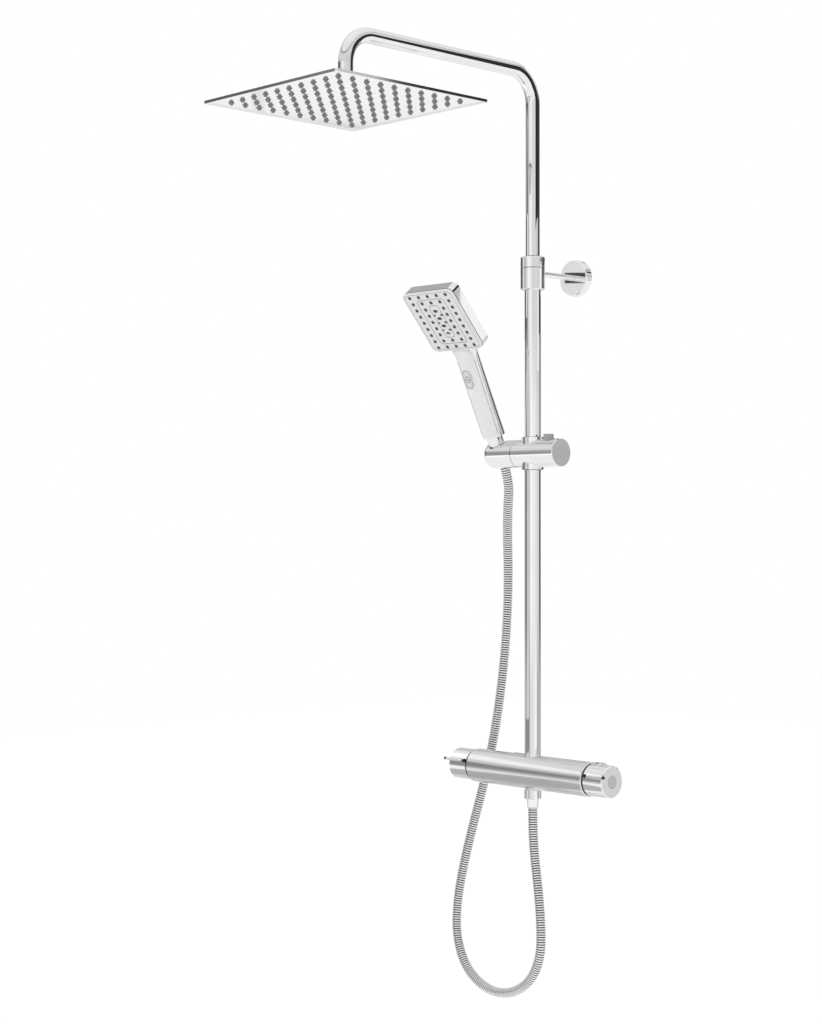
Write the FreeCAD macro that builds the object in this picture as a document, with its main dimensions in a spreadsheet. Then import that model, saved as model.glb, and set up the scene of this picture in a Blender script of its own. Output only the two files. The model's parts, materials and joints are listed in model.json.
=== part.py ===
import FreeCAD, Part
import math
import os
import Sketcher

# Rainfall shower column: thermostatic bar mixer, telescopic riser with a wall bracket,
# swivelling arm with a square rain head, and a slider that holds a hand shower on a hose.
#
# Millimetres.  +Z is up, the front faces -Y, +X is the user's right.  The origin lies
# midway between the two supply inlets, on the plane of their nuts' rims.

V = FreeCAD.Vector
DOC = FreeCAD.newDocument("shower_column")
SHEET = DOC.addObject("Spreadsheet::Sheet", "Sizes")

SIZES = {
    # general layout
    "inlet_spacing": 150.0, "riser_offset": 55.0, "wall_offset": 38.0, "run_clear": 0.05,
    "free_gap": 0.35, "seat_gap": 0.3, "slide_gap": 0.5,
    # mixer body
    "body_dia": 46.0, "body_span": 212.0, "body_edge": 1.2, "stub_dia": 20.0, "stub_bore": 18.0,
    "cart_bore": 37.0, "cart_depth": 58.0, "riser_entry": 14.0, "cross_bore": 12.0,
    "ring_wide": 2.5, "ring_inset": 0.8,
    "ring_dia": "=knob_dia - 2 * ring_inset",
    # knobs
    "knob_dia": 42.6, "knob_span": 32.6, "knob_wall": 2.6, "knob_edge": 1.4, "knob_hub": 18.0,
    "spindle_dia": 10.0, "spindle_reach": 24.0, "cap_dia": 17.6, "cap_deep": 1.4, "cap_recess": 0.3,
    "pin_dia": 3.8, "pin_start": 2.5, "pin_span": 37.0, "pin_lean": 5.0, "pin_angle": 20.0,
    "pin_tip": 4.0, "pin_bead": 5.6, "pin_clear": 0.02, "tip_rim": 0.1,
    "stop_wide": 4.6, "stop_span": 6.4, "stop_rise": 2.2,
    "stop_place": 11.5, "stop_travel": 1.2,
    # inlets
    "nut_across": 30.0, "nut_span": 17.0, "nut_thread": 24.2, "thread_deep": 9.5,
    "undercut_dia": 25.2, "nut_shoulder": 3.0, "flange_dia": 23.6, "filter_place": 10.0,
    "filter_thick": 2.0, "check_span": 16.0, "check_bore": 6.0,
    # riser
    "low_dia": 22.0, "low_wall": 1.0, "low_bore": "=low_dia - 2 * low_wall", "low_top": 684.0,
    "nipple_bore": 13.0, "nipple_span": 22.0, "up_wall": 1.0, "up_dia": "=low_bore - 2 * slide_gap",
    "up_bore": "=up_dia - 2 * up_wall", "up_base": 520.0, "arm_height": 950.0, "arm_reach": 340.0,
    "bend_riser": 42.0, "bend_head": 40.0, "leg_end": 897.0, "plug_journal": 14.0, "plug_bore": 9.0,
    "plug_span": 14.0, "plug_head": 2.5,
    # bracket
    "collar_dia": 33.0, "collar_base": 655.0, "collar_top": 684.5, "lock_top": 699.5,
    "collar_edge": 1.0, "split_edge": 0.5, "guide_wall": 1.5,
    "guide_dia": "=low_dia + 2 * guide_wall", "guide_rim": 1.5, "rod_inset": 2.0, "rod_dia": 8.0,
    "rod_height": 678.0, "rosette_dia": 50.0, "rosette_deep": 11.0, "rosette_wall": 1.2,
    "plate_dia": 42.0, "plate_thick": 3.0, "plate_boss": 18.0, "screw_hole": 5.0,
    "screw_spacing": 28.0, "grub_dia": 5.0, "grub_span": 5.0, "grub_key": 2.5,
    # rain head
    "head_side": 250.0, "head_base": 861.0, "face_thick": 2.0, "head_corner": 3.0, "lip_rise": 1.6,
    "lip_wall": 1.2, "cover_side": 218.0, "cover_deep": 3.4, "cover_wall": 1.2,
    "cover_corner": 12.0, "nozzle_pitch": 22.3, "nozzle_dia": 5.6, "nozzle_tip": 4.4,
    "nozzle_rise": 3.2, "nozzle_foot": 7.4, "foot_rise": 0.8, "mat_thick": 1.2,
    "ball_height": 884.0, "ball_dia": 22.0, "drain_bore": 8.0,
    "neck_dia": 11.0, "seat_thick": 1.95, "hub_dia": 36.0,
    "hub_top": 878.0, "socket_top": 892.0, "socket_open": 9.0, "stud_bore": 6.0,
    # slider
    "slider_height": 433.0, "barrel_dia": 38.4, "barrel_right": 52.0, "split_left": 25.6,
    "bush_wall": 1.5, "bush_dia": "=low_dia + 2 * bush_wall", "sleeve_wall": 2.5,
    "sleeve_dia": "=bush_dia + 2 * sleeve_wall", "sleeve_half": 22.0, "endcap_rim": 1.0,
    "endcap_dia": "=barrel_dia - 2 * endcap_rim", "endcap_thick": 1.6, "axle_dia": 12.0,
    "axle_inner": 15.0, "washer_thick": 0.8, "button_dia": 14.0, "button_place": 29.0,
    "button_rise": 6.4, "button_travel": 3.0,
    # cradle
    "cradle_left": 77.0, "cradle_edge": 7.0, "cradle_tilt": 26.0, "bore_place": 61.0,
    "flat_rise": 16.0, "bore_top": 26.4, "cone_start": 3.0,
    # hose and its fittings
    "hose_dia": 13.0, "hose_bore": 8.0, "cone_low": 18.6, "cone_high": 22.4, "cone_drop": 16.5,
    "cone_rise": 29.0, "foot_gap": 0.2, "outlet_dia": 20.6, "outlet_bore": 12.0, "outlet_span": 8.0,
    "hose_nut_dia": 23.4, "hose_nut_top": 23.2, "hose_nut_span": 12.6, "ferrule_dia": 14.6,
    "ferrule_span": 11.5, "washer_span": 2.0,
    # hand shower, measured along its handle from the cradle's pivot
    "handle_wide": 35.0, "handle_deep": 27.0, "neck_wide": 37.0, "neck_deep": 24.0,
    "neck_thin": 13.0, "handle_end": 147.0, "handle_wall": 3.0, "flare_span": 22.0,
    "flare_wide": 26.0, "hand_bend": 15.0, "hand_side": 94.0, "hand_long": 97.0, "hand_thick": 17.5,
    "hand_round": 9.0, "hand_centre": 62.0, "hand_start": 150.0, "plate_deep": 3.2,
    "seam_front": 4.0, "water_dia": 14.0, "water_bore": 10.0, "hand_pitch_x": 17.0, "hand_pitch_y": 10.4,
    "hand_nozzle": 3.2, "hand_nozzle_rise": 1.1, "hand_mat": 1.4, "mode_wide": 15.0,
    "mode_long": 27.0, "mode_place": 118.0, "mode_rise": 1.0, "mode_deep": 5.0,
}

NODES = []


def fill_sheet():
    """One row per size; a text value is a spreadsheet formula on the sizes above it."""
    for row, (alias, value) in enumerate(SIZES.items(), 1):
        SHEET.set("A%d" % row, alias)
        SHEET.setAlias("B%d" % row, alias)
        SHEET.set("B%d" % row, str(value))
    DOC.recompute()


class Size:
    """A length that carries both its present value and its spreadsheet expression."""

    def __init__(self, value, text):
        self.value = value
        self.text = text

    @staticmethod
    def of(other):
        if isinstance(other, Size):
            return other
        return Size(float(other), "%r" % float(other))

    def __add__(self, other):
        other = Size.of(other)
        return Size(self.value + other.value, "(%s + %s)" % (self.text, other.text))

    def __sub__(self, other):
        other = Size.of(other)
        return Size(self.value - other.value, "(%s - %s)" % (self.text, other.text))

    def __mul__(self, other):
        other = Size.of(other)
        return Size(self.value * other.value, "(%s * %s)" % (self.text, other.text))

    def __truediv__(self, other):
        other = Size.of(other)
        return Size(self.value / other.value, "(%s / %s)" % (self.text, other.text))

    def __neg__(self):
        return Size(-self.value, "(0 - %s)" % self.text)

    def __radd__(self, other):
        return Size.of(other) + self

    def __rsub__(self, other):
        return Size.of(other) - self

    def __rmul__(self, other):
        return Size.of(other) * self


def z(alias):
    return Size(float(SHEET.get(alias)), "Sizes." + alias)


def bind(obj, prop, size):
    size = Size.of(size)
    obj.setExpression(prop, size.text)


def put(obj, at, axis=None, angle=0.0):
    """Place an object: `at` is bound to the sheet, the turn is about a unit axis."""
    rotation = FreeCAD.Rotation()
    if axis is not None:
        rotation = FreeCAD.Rotation(V(*axis), Size.of(angle).value)
    place = [Size.of(v) for v in at]
    obj.Placement = FreeCAD.Placement(V(*[p.value for p in place]), rotation)
    for letter, size in zip("xyz", place):
        bind(obj, ".Placement.Base." + letter, size)
    if isinstance(angle, Size):
        bind(obj, ".Placement.Rotation.Angle", angle)
    return obj


# Turns that take a piece's own +Z onto the named direction.
RIGHT = dict(axis=(0, 1, 0), angle=90.0)
LEFT = dict(axis=(0, 1, 0), angle=-90.0)
BACK = dict(axis=(1, 0, 0), angle=-90.0)
FRONT = dict(axis=(1, 0, 0), angle=90.0)


def node(obj, name):
    obj.Label = name
    NODES.append((name, obj))
    return obj


def plane(body, role):
    return [f for f in body.Origin.OriginFeatures if f.Role == role][0]


def outline(body, points, role="XZ_Plane"):
    """A closed polygon sketch; every vertex is tied to the sheet."""
    sketch = body.newObject("Sketcher::SketchObject", body.Name + "_profile")
    sketch.AttachmentSupport = [(plane(body, role), "")]
    sketch.MapMode = "FlatFace"
    return polygon(sketch, points)


def polygon(sketch, points):
    points = [(Size.of(a), Size.of(b)) for a, b in points]
    count = len(points)
    spots = [V(a.value, b.value, 0) for a, b in points]
    lines = []
    for i in range(count):
        lines.append(Part.LineSegment(spots[i], spots[(i + 1) % count]))
    first = sketch.addGeometry(lines, False)[0]
    rules = []
    for i in range(count):
        rules.append(Sketcher.Constraint("Coincident", first + i, 2, first + (i + 1) % count, 1))
    sketch.addConstraint(rules)
    for i, (a, b) in enumerate(points):
        for kind, size in (("DistanceX", a), ("DistanceY", b)):
            index = sketch.addConstraint(Sketcher.Constraint(kind, -1, 1, first + i, 1, size.value))
            if "Sizes" in size.text:
                sketch.setExpression("Constraints[%d]" % index, size.text)
    return sketch


def turned(name, points, at=(0, 0, 0), axis=None, angle=0.0):
    """A PartDesign body turned about its own Z from (radius, height) points."""
    body = DOC.addObject("PartDesign::Body", name)
    sketch = outline(body, points)
    spin = body.newObject("PartDesign::Revolution", name + "_turn")
    spin.Profile = sketch
    spin.ReferenceAxis = (sketch, ["V_Axis"])
    spin.Angle = 360.0
    return put(body, at, axis, angle)


def padded(name, points, low, high, role="XY_Plane", at=(0, 0, 0), axis=None, angle=0.0):
    """A PartDesign body padded from an outline between two heights on its own normal."""
    body = DOC.addObject("PartDesign::Body", name)
    sketch = outline(body, points, role)
    bind(sketch, ".AttachmentOffset.Base.z", low)
    pad = body.newObject("PartDesign::Pad", name + "_pad")
    pad.Profile = sketch
    pad.Length = (Size.of(high) - low).value
    bind(pad, "Length", Size.of(high) - low)
    return put(body, at, axis, angle)


def rounded(body, name, size, wanted):
    """A PartDesign fillet on the tip's edges that `wanted` picks."""
    DOC.recompute()
    tip = body.Tip
    picked = []
    for i, edge in enumerate(tip.Shape.Edges, 1):
        if wanted(edge):
            picked.append("Edge%d" % i)
    fillet = body.newObject("PartDesign::Fillet", name)
    fillet.Base = (tip, picked)
    fillet.Radius = Size.of(size).value
    bind(fillet, "Radius", size)
    return fillet


def upright(edge):
    a, b = [v.Point for v in edge.Vertexes[:1] + edge.Vertexes[-1:]]
    return edge.Curve.TypeId == "Part::GeomLine" and abs(a.x - b.x) + abs(a.y - b.y) < 0.001


def rod(name, radius, low, high, at=(0, 0, 0), axis=None, angle=0.0):
    """A plain cylinder between two heights on its own axis, as a Part primitive."""
    low = Size.of(low)
    piece = DOC.addObject("Part::Cylinder", name)
    piece.Radius = Size.of(radius).value
    piece.Height = (Size.of(high) - low).value
    bind(piece, "Radius", radius)
    bind(piece, "Height", Size.of(high) - low)
    base = [Size.of(v) for v in at]
    way = FreeCAD.Rotation()
    if axis is not None:
        way = FreeCAD.Rotation(V(*axis), Size.of(angle).value)
    along = way.multVec(V(0, 0, 1))
    shifted = [b + low * round(c, 6) for b, c in zip(base, along)]
    return put(piece, shifted, axis, angle)


def block(name, x, y, h, at=(0, 0, 0), axis=None, angle=0.0):
    """A box from x = (low, high), y = (low, high), h = (low, high), turned about `at`."""
    corners = [(x[0], y[0]), (x[1], y[0]), (x[1], y[1]), (x[0], y[1])]
    return padded(name, corners, h[0], h[1], "XY_Plane", at, axis, angle)


def joined(name, pieces):
    piece = DOC.addObject("Part::MultiFuse", name)
    piece.Shapes = pieces
    return piece


def minus(name, base, tools):
    tool = tools[0]
    if len(tools) > 1:
        tool = joined(name + "_tools", tools)
    piece = DOC.addObject("Part::Cut", name)
    piece.Base = base
    piece.Tool = tool
    return piece


def shared(name, pieces):
    piece = DOC.addObject("Part::MultiCommon", name)
    piece.Shapes = pieces
    return piece


def grouped(name, pieces):
    piece = DOC.addObject("Part::Compound", name)
    piece.Links = pieces
    return piece


def ring(name, inner, outer, low, high, at=(0, 0, 0), axis=None, angle=0.0):
    points = [(inner, low), (outer, low), (outer, high), (inner, high)]
    return turned(name, points, at, axis, angle)


# ---------------------------------------------------------------- mixer

def riser_spot(height=0.0):
    return (0, -z("riser_offset"), height)


def build_mixer_body():
    half = z("body_span") / 2
    r = z("body_dia") / 2
    edge = z("body_edge")
    seal = z("filter_place") + z("filter_thick")
    shoulder = z("nut_span") - z("nut_shoulder") - z("run_clear")
    bar = turned("mixer_bar", [(0, -half), (r - edge, -half), (r, edge - half), (r, half - edge),
                               (r - edge, half), (0, half)], riser_spot(), **RIGHT)
    pieces = [bar]
    cuts = []
    for side, sign in (("left", -1), ("right", 1)):
        x = z("inlet_spacing") / 2 * sign
        pieces.append(turned("stub_" + side, [
            (0, seal), (z("flange_dia") / 2, seal), (z("flange_dia") / 2, shoulder),
            (z("stub_dia") / 2, shoulder), (z("stub_dia") / 2, z("riser_offset")),
            (0, z("riser_offset"))], (x, 0, 0), **FRONT))
        cuts.append(rod("inlet_way_" + side, z("stub_bore") / 2, -1, z("riser_offset") - 14.0,
                        (x, 0, 0), **FRONT))
        way = RIGHT if sign > 0 else LEFT
        cuts.append(rod("cartridge_way_" + side, z("cart_bore") / 2, half - z("cart_depth"),
                        half + 1, riser_spot(), **way))
    cuts.append(rod("riser_socket", z("low_dia") / 2, z("riser_entry"), r + 1, riser_spot()))
    cuts.append(rod("riser_way", z("nipple_bore") / 2, -1, r, riser_spot()))
    cuts.append(rod("outlet_way", z("outlet_bore") / 2, -r - 1, 0, riser_spot()))
    cuts.append(rod("nipple_way", z("low_bore") / 2, 4, z("riser_entry") + 1, riser_spot()))
    cuts.append(rod("outlet_thread", z("outlet_dia") / 2 - 1, -r - 1, -12, riser_spot()))
    cross = half - z("cart_depth") + 1
    cuts.append(rod("cross_way", z("cross_bore") / 2, -cross, cross, riser_spot(), **RIGHT))
    node(minus("mixer_body", joined("mixer_casting", pieces), cuts), "mixer_body")


def build_inlets():
    nuts = []
    filters = []
    valves = []
    hexagon = [(math.cos(math.radians(60 * k)), math.sin(math.radians(60 * k))) for k in range(6)]
    big = z("nut_across") / 2 / math.cos(math.radians(30))
    thread = z("nut_thread") / 2
    undercut = z("undercut_dia") / 2
    neck = z("stub_dia") / 2 + z("run_clear")
    shoulder = z("nut_span") - z("nut_shoulder")
    seal = z("filter_place") + z("filter_thick")
    for side, sign in (("left", -1), ("right", 1)):
        x = z("inlet_spacing") / 2 * sign
        prism = padded("nut_blank_" + side, [(big * c, big * s) for c, s in hexagon],
                       0, z("nut_span"), "XY_Plane", (x, 0, 0), **FRONT)
        inside = turned("nut_inside_" + side, [
            (0, -1), (thread, -1), (thread, z("thread_deep")), (undercut, z("thread_deep")),
            (undercut, shoulder), (neck, shoulder), (neck, z("nut_span") + 1),
            (0, z("nut_span") + 1)], (x, 0, 0), **FRONT)
        nuts.append(minus("nut_" + side, prism, [inside]))
        filters.append(ring("filter_" + side, z("stub_bore") / 2 - 2, z("flange_dia") / 2,
                            z("filter_place"), seal, (x, 0, 0), **FRONT))
        valves.append(ring("valve_" + side, z("check_bore") / 2, z("stub_bore") / 2, seal + 1.0,
                           seal + 1.0 + z("check_span"), (x, 0, 0), **FRONT))
    node(grouped("inlet_union_nuts", nuts), "inlet_union_nuts")
    node(grouped("inlet_filters", filters), "inlet_filters")
    node(grouped("inlet_check_valves", valves), "inlet_check_valves")


def build_cartridge(name, way):
    half = z("body_span") / 2
    r = z("cart_bore") / 2
    hole = z("spindle_dia") / 2 + z("run_clear")
    start = half - z("cart_depth")
    node(turned(name, [(hole, start), (r, start), (r, half - 2), (r - 4, half), (hole, half)],
                riser_spot(), **way), name)


def build_stop_ring(name, way):
    half = z("body_span") / 2
    node(ring(name, z("spindle_dia") / 2 + z("free_gap"), z("ring_dia") / 2, half,
              half + z("ring_wide") - z("free_gap"), riser_spot(), **way), name)


def knob_solid(name, way):
    """A thin-walled cup, closed at its outer end, with a hub for the spindle."""
    start = z("body_span") / 2 + z("ring_wide")
    end = start + z("knob_span")
    r = z("knob_dia") / 2
    wall = z("knob_wall")
    edge = z("knob_edge")
    hub = z("knob_hub") / 2
    hole = z("spindle_dia") / 2
    top = start + z("spindle_reach")
    return turned(name, [
        (0, end - z("cap_deep")), (0, top), (hole, top), (hole, start), (hub, start),
        (hub, end - wall - 3), (r - wall, end - wall - 3), (r - wall, start), (r, start),
        (r, end - edge), (r - edge, end), (z("cap_dia") / 2, end),
        (z("cap_dia") / 2, end - z("cap_deep"))], riser_spot(), **way)


def pin_place(sign):
    """Where a grip pin leaves the body's end of its knob, and the turn that lays it down."""
    start = z("body_span") / 2 + z("ring_wide") + z("pin_start")
    lift = math.radians(z("pin_angle").value)
    r = z("knob_dia") / 2
    spot = (start * sign, -z("riser_offset") - r * math.cos(lift), r * math.sin(lift))
    lean = math.radians(z("pin_lean").value)
    out = V(0, -math.cos(lift), math.sin(lift))
    way = V(sign, 0, 0) * math.cos(lean) + out * math.sin(lean)
    turn = FreeCAD.Rotation(V(0, 0, 1), way)
    return spot, dict(axis=tuple(turn.Axis), angle=math.degrees(turn.Angle))


def pin_points(grow=0.0):
    """The pin's outline: a bead at the body end, then a straight shank, all wider by `grow`."""
    r = z("pin_dia") / 2 + grow
    bead = z("pin_bead") / 2 + grow
    end = z("pin_span") - z("pin_tip")
    return [(0, -bead * 0.8), (bead * 0.7, -bead * 0.7), (bead, 0), (bead * 0.8, bead * 0.7),
            (r, bead), (r, end + grow), (0, end + grow)]


def build_handle(kind, sign):
    way = RIGHT if sign > 0 else LEFT
    half = z("body_span") / 2
    start = half + z("ring_wide")
    end = start + z("knob_span")
    spot, turn = pin_place(sign)
    blank = knob_solid(kind + "_knob_blank", way)
    tip = z("pin_dia") / 2 + z("tip_rim")
    cuts = [turned(kind + "_pin_seat", pin_points(z("pin_clear")), spot, **turn),
            rod(kind + "_tip_seat", tip + z("pin_clear"), 0, z("pin_span") + 3, spot, **turn)]
    if kind == "temperature":
        cuts.append(safety_shape("stop_slot", z("run_clear"), 14.0, 4.0))
    node(minus(kind + "_knob", blank, cuts), kind + "_knob")
    node(turned(kind + "_grip_pin", pin_points(), spot, **turn), kind + "_grip_pin")
    node(turned(kind + "_grip_tip", [
        (0, z("pin_span") - z("pin_tip")), (tip, z("pin_span") - z("pin_tip")),
        (tip, z("pin_span") - 1), (z("pin_dia") / 2 - 0.9, z("pin_span")),
        (0, z("pin_span"))], spot, **turn), kind + "_grip_tip")
    reach = start + z("spindle_reach")
    node(turned(kind + "_spindle", [
        (0, half - z("cart_depth") + 6), (z("spindle_dia") / 2, half - z("cart_depth") + 6),
        (z("spindle_dia") / 2, reach), (0, reach)], riser_spot(), **way), kind + "_spindle")
    face = end - z("cap_recess")
    node(turned(kind + "_end_cap", [
        (0, end - z("cap_deep")), (z("cap_dia") / 2, end - z("cap_deep")),
        (z("cap_dia") / 2, face - 0.25), (z("cap_dia") / 2 - 0.25, face), (0, face)],
        riser_spot(), **way), kind + "_end_cap")


def safety_shape(name, grow, top, bottom):
    """The safety stop's oblong: `top` above and `bottom` below the knob's surface."""
    x = z("body_span") / 2 + z("ring_wide") + z("stop_place")
    long = z("stop_span") / 2 + grow
    wide = z("stop_wide") / 2 + grow
    r = z("knob_dia") / 2
    piece = block(name, (-long, long), (-wide, wide), (r - bottom, r + top),
                  (x, -z("riser_offset"), 0))
    rounded(piece, name + "_ends", z("stop_wide") / 2 - 0.4, upright)
    return piece


def build_safety_button():
    node(safety_shape("safety_button", 0.0, z("stop_rise"), 3.2), "safety_button")


def build_outlet():
    r = z("body_dia") / 2
    thread = z("outlet_dia") / 2 - 1
    drop = z("outlet_span")
    node(turned("outlet_nipple", [
        (z("outlet_bore") / 2, -r - drop), (thread, -r - drop), (thread, -12),
        (z("outlet_bore") / 2, -12)], riser_spot()), "outlet_nipple")
    low = -r - drop - z("washer_span")
    node(ring("outlet_washer", z("hose_bore") / 2, thread, low, -r - drop, riser_spot()),
         "outlet_washer")
    top = -z("hose_nut_top")
    base = top - z("hose_nut_span")
    out = z("hose_nut_dia") / 2
    node(turned("hose_outlet_nut", [
        (z("ferrule_dia") / 2 - 1, base), (out - 0.8, base), (out, base + 0.8), (out, top - 0.8),
        (out - 0.8, top), (thread + 0.05, top), (thread + 0.05, base + 1.2),
        (z("ferrule_dia") / 2 - 1, base + 1.2)], riser_spot()), "hose_outlet_nut")
    node(turned("hose_outlet_ferrule", [
        (z("hose_bore") / 2, base - z("ferrule_span")),
        (z("ferrule_dia") / 2, base - z("ferrule_span")),
        (z("ferrule_dia") / 2 + 0.4, base), (z("ferrule_dia") / 2 - 1, base),
        (z("ferrule_dia") / 2 - 1, low), (z("hose_bore") / 2, low)], riser_spot()),
        "hose_outlet_ferrule")


# ---------------------------------------------------------------- riser and bracket

def build_riser():
    node(ring("lower_tube", z("low_bore") / 2, z("low_dia") / 2, z("riser_entry"), z("low_top"),
              riser_spot()), "lower_tube")
    node(turned("riser_nipple", [
        (z("nipple_bore") / 2, 4), (z("low_bore") / 2, 4),
        (z("low_bore") / 2, z("riser_entry") + z("nipple_span")),
        (z("nipple_bore") / 2, z("riser_entry") + z("nipple_span"))], riser_spot()), "riser_nipple")


def build_bracket():
    r = z("collar_dia") / 2
    edge = z("collar_edge")
    split = z("split_edge")
    hole = z("low_dia") / 2
    base = z("collar_base")
    top = z("collar_top")
    collar = turned("collar_ring", [
        (hole, base), (r - edge, base), (r, base + edge), (r, top - split), (r - split, top),
        (hole, top)], riser_spot())
    rod_way = (0, -z("riser_offset"), z("rod_height"))
    inner = z("low_dia") / 2 + z("rod_inset")
    seat = rod("rod_seat", z("rod_dia") / 2, inner, r + 10.0, rod_way, **BACK)
    node(minus("bracket_collar", collar, [seat]), "bracket_collar")
    lock = turned("lock_blank", [
        (z("guide_dia") / 2, top), (r - split, top), (r, top + split), (r, z("lock_top") - edge),
        (r - edge, z("lock_top")), (z("guide_dia") / 2, z("lock_top"))], riser_spot())
    notch = rod("grub_hole", z("grub_dia") / 2, z("guide_dia") / 2 - 2, 20,
                (0, -z("riser_offset"), z("lock_top") - 5.0), **RIGHT)
    node(minus("lock_ring", lock, [notch]), "lock_ring")
    bore = z("up_dia") / 2 + z("run_clear")
    bush = turned("guide_blank", [
        (bore, z("low_top") + 0.5), (z("guide_dia") / 2, z("low_top") + 0.5),
        (z("guide_dia") / 2, z("lock_top") + z("guide_rim") - 0.5),
        (bore + 1, z("lock_top") + z("guide_rim")), (bore, z("lock_top") + z("guide_rim"))],
        riser_spot())
    node(bush, "guide_bush")
    screw = turned("grub_blank", [
        (0, z("guide_dia") / 2), (z("grub_dia") / 2, z("guide_dia") / 2),
        (z("grub_dia") / 2, z("guide_dia") / 2 + z("grub_span") - 0.5),
        (z("grub_key") / 2, z("guide_dia") / 2 + z("grub_span") - 0.5),
        (z("grub_key") / 2, z("guide_dia") / 2 + 1.5), (0, z("guide_dia") / 2 + 1.5)],
        (0, -z("riser_offset"), z("lock_top") - 5.0), **RIGHT)
    node(screw, "grub_screw")
    node(rod("bracket_rod", z("rod_dia") / 2, inner,
             z("riser_offset") + z("wall_offset") - z("plate_thick"), rod_way, **BACK), "bracket_rod")


def build_wall_fixing():
    wall = z("wall_offset")
    deep = z("rosette_deep")
    skin = z("rosette_wall")
    r = z("rosette_dia") / 2
    hole = z("rod_dia") / 2 + 0.1
    spot = (0, wall, z("rod_height"))
    node(turned("wall_rosette", [
        (hole, deep), (r - 1.5, deep), (r, deep - 1.5), (r, 0), (r - skin, 0),
        (r - skin, deep - 2.2), (r - 2.4, deep - skin), (hole, deep - skin)],
        spot, **FRONT), "wall_rosette")
    plate = turned("plate_blank", [
        (0, 0), (z("plate_dia") / 2, 0), (z("plate_dia") / 2, z("plate_thick")),
        (z("plate_boss") / 2, z("plate_thick")), (z("plate_boss") / 2, deep - skin),
        (z("rod_dia") / 2, deep - skin), (z("rod_dia") / 2, z("plate_thick")), (0, z("plate_thick"))],
        spot, **FRONT)
    cuts = []
    for side, sign in (("low", -1), ("high", 1)):
        at = (0, wall, z("rod_height") + z("screw_spacing") / 2 * sign)
        cuts.append(rod("screw_hole_" + side, z("screw_hole") / 2, -1, deep, at, **FRONT))
    node(minus("wall_plate", plate, cuts), "wall_plate")


# ---------------------------------------------------------------- upper tube and rain head

def build_upper_tube():
    """One bent tube: up the riser, over the bather and down to the ball joint."""
    y0 = -z("riser_offset").value
    y1 = y0 - z("arm_reach").value
    top = z("arm_height").value
    a = z("bend_riser").value
    b = z("bend_head").value
    low = z("up_base").value
    end = z("leg_end").value
    k = math.sqrt(0.5)
    spine = Part.Wire([
        Part.LineSegment(V(0, y0, low), V(0, y0, top - a)).toShape(),
        Part.Arc(V(0, y0, top - a), V(0, y0 - a + a * k, top - a + a * k),
                 V(0, y0 - a, top)).toShape(),
        Part.LineSegment(V(0, y0 - a, top), V(0, y1 + b, top)).toShape(),
        Part.Arc(V(0, y1 + b, top), V(0, y1 + b - b * k, top - b + b * k),
                 V(0, y1, top - b)).toShape(),
        Part.LineSegment(V(0, y1, top - b), V(0, y1, end)).toShape()])
    tube = swept_tube("upper_tube", spine, z("up_dia").value, z("up_bore").value,
                      V(0, y0, low), V(0, 0, 1))
    node(tube, "upper_tube")


def swept_tube(name, spine, outside, inside, start, way):
    """A round tube along a wire; the sizes are read from the sheet by the caller."""
    skins = []
    for dia in (outside, inside):
        rim = Part.Wire([Part.makeCircle(dia / 2, start, way)])
        skins.append(spine.makePipeShell([rim], True, False))
    piece = DOC.addObject("Part::Feature", name)
    piece.Shape = skins[0].cut(skins[1])
    return piece


def build_lift_joint():
    base = z("up_base")
    journal = z("plug_journal") / 2
    low = base - z("plug_span")
    head = low - z("plug_head")
    rim = z("up_dia") / 2 - 0.3
    node(turned("tube_end_plug", [
        (z("plug_bore") / 2, head), (rim, head), (rim, low), (journal, low), (journal, base),
        (z("up_bore") / 2, base), (z("up_bore") / 2, base + 10), (z("plug_bore") / 2, base + 10)],
        riser_spot()), "tube_end_plug")
    gap = z("free_gap")
    node(ring("lift_bush", journal + z("run_clear"), z("low_bore") / 2 - z("run_clear"),
              low + gap, base - gap, riser_spot()), "lift_bush")


def head_spot(height=0.0):
    return (0, -z("riser_offset") - z("arm_reach"), height)


def build_ball_joint():
    r = z("ball_dia") / 2
    neck = z("neck_dia") / 2
    end = z("leg_end") - z("ball_height")
    start = math.degrees(math.asin(neck.value / r.value))
    bore = z("stud_bore") / 2
    bottom = 180 - math.degrees(math.asin(bore.value / r.value))
    body = DOC.addObject("PartDesign::Body", "ball_stud")
    sketch = body.newObject("Sketcher::SketchObject", "ball_stud_profile")
    sketch.AttachmentSupport = [(plane(body, "XZ_Plane"), "")]
    sketch.MapMode = "FlatFace"
    rim = z("up_dia") / 2
    inner = z("up_bore") / 2
    round_outline(sketch, [(bore, end + 9), (inner, end + 9), (inner, end), (rim, end),
                           (rim, end - 2.0), (neck, end - 2.0)], r, start, bottom)
    spin = body.newObject("PartDesign::Revolution", "ball_stud_turn")
    spin.Profile = sketch
    spin.ReferenceAxis = (sketch, ["V_Axis"])
    spin.Angle = 360.0
    node(put(body, head_spot(z("ball_height"))), "ball_stud")
    inside = r + z("run_clear")
    outside = inside + z("seat_thick")
    node(shell_band("ball_seat_upper", inside, outside, 50.0, 84.0), "ball_seat_upper")
    node(shell_band("ball_seat_lower", inside, outside, 98.0, 138.0), "ball_seat_lower")


def shell_band(name, inside, outside, first, last):
    """A band of a hollow ball between two polar angles, cut by cones from the centre."""
    shells = []
    for tag, radius in (("outer", outside), ("inner", inside)):
        ball = DOC.addObject("Part::Sphere", name + "_" + tag)
        ball.Radius = radius.value
        bind(ball, "Radius", radius)
        shells.append(ball)
    skin = minus(name + "_skin", shells[0], [shells[1]])
    far = Size.of(40.0)
    a = math.radians(first)
    b = math.radians(last)
    wedge = turned(name + "_wedge", [
        (0, 0), (far * round(math.sin(a), 6), far * round(math.cos(a), 6)), (60.0, 0.0),
        (far * round(math.sin(b), 6), far * round(math.cos(b), 6))])
    band = shared(name, [skin, wedge])
    return put(band, head_spot(z("ball_height")))


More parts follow.
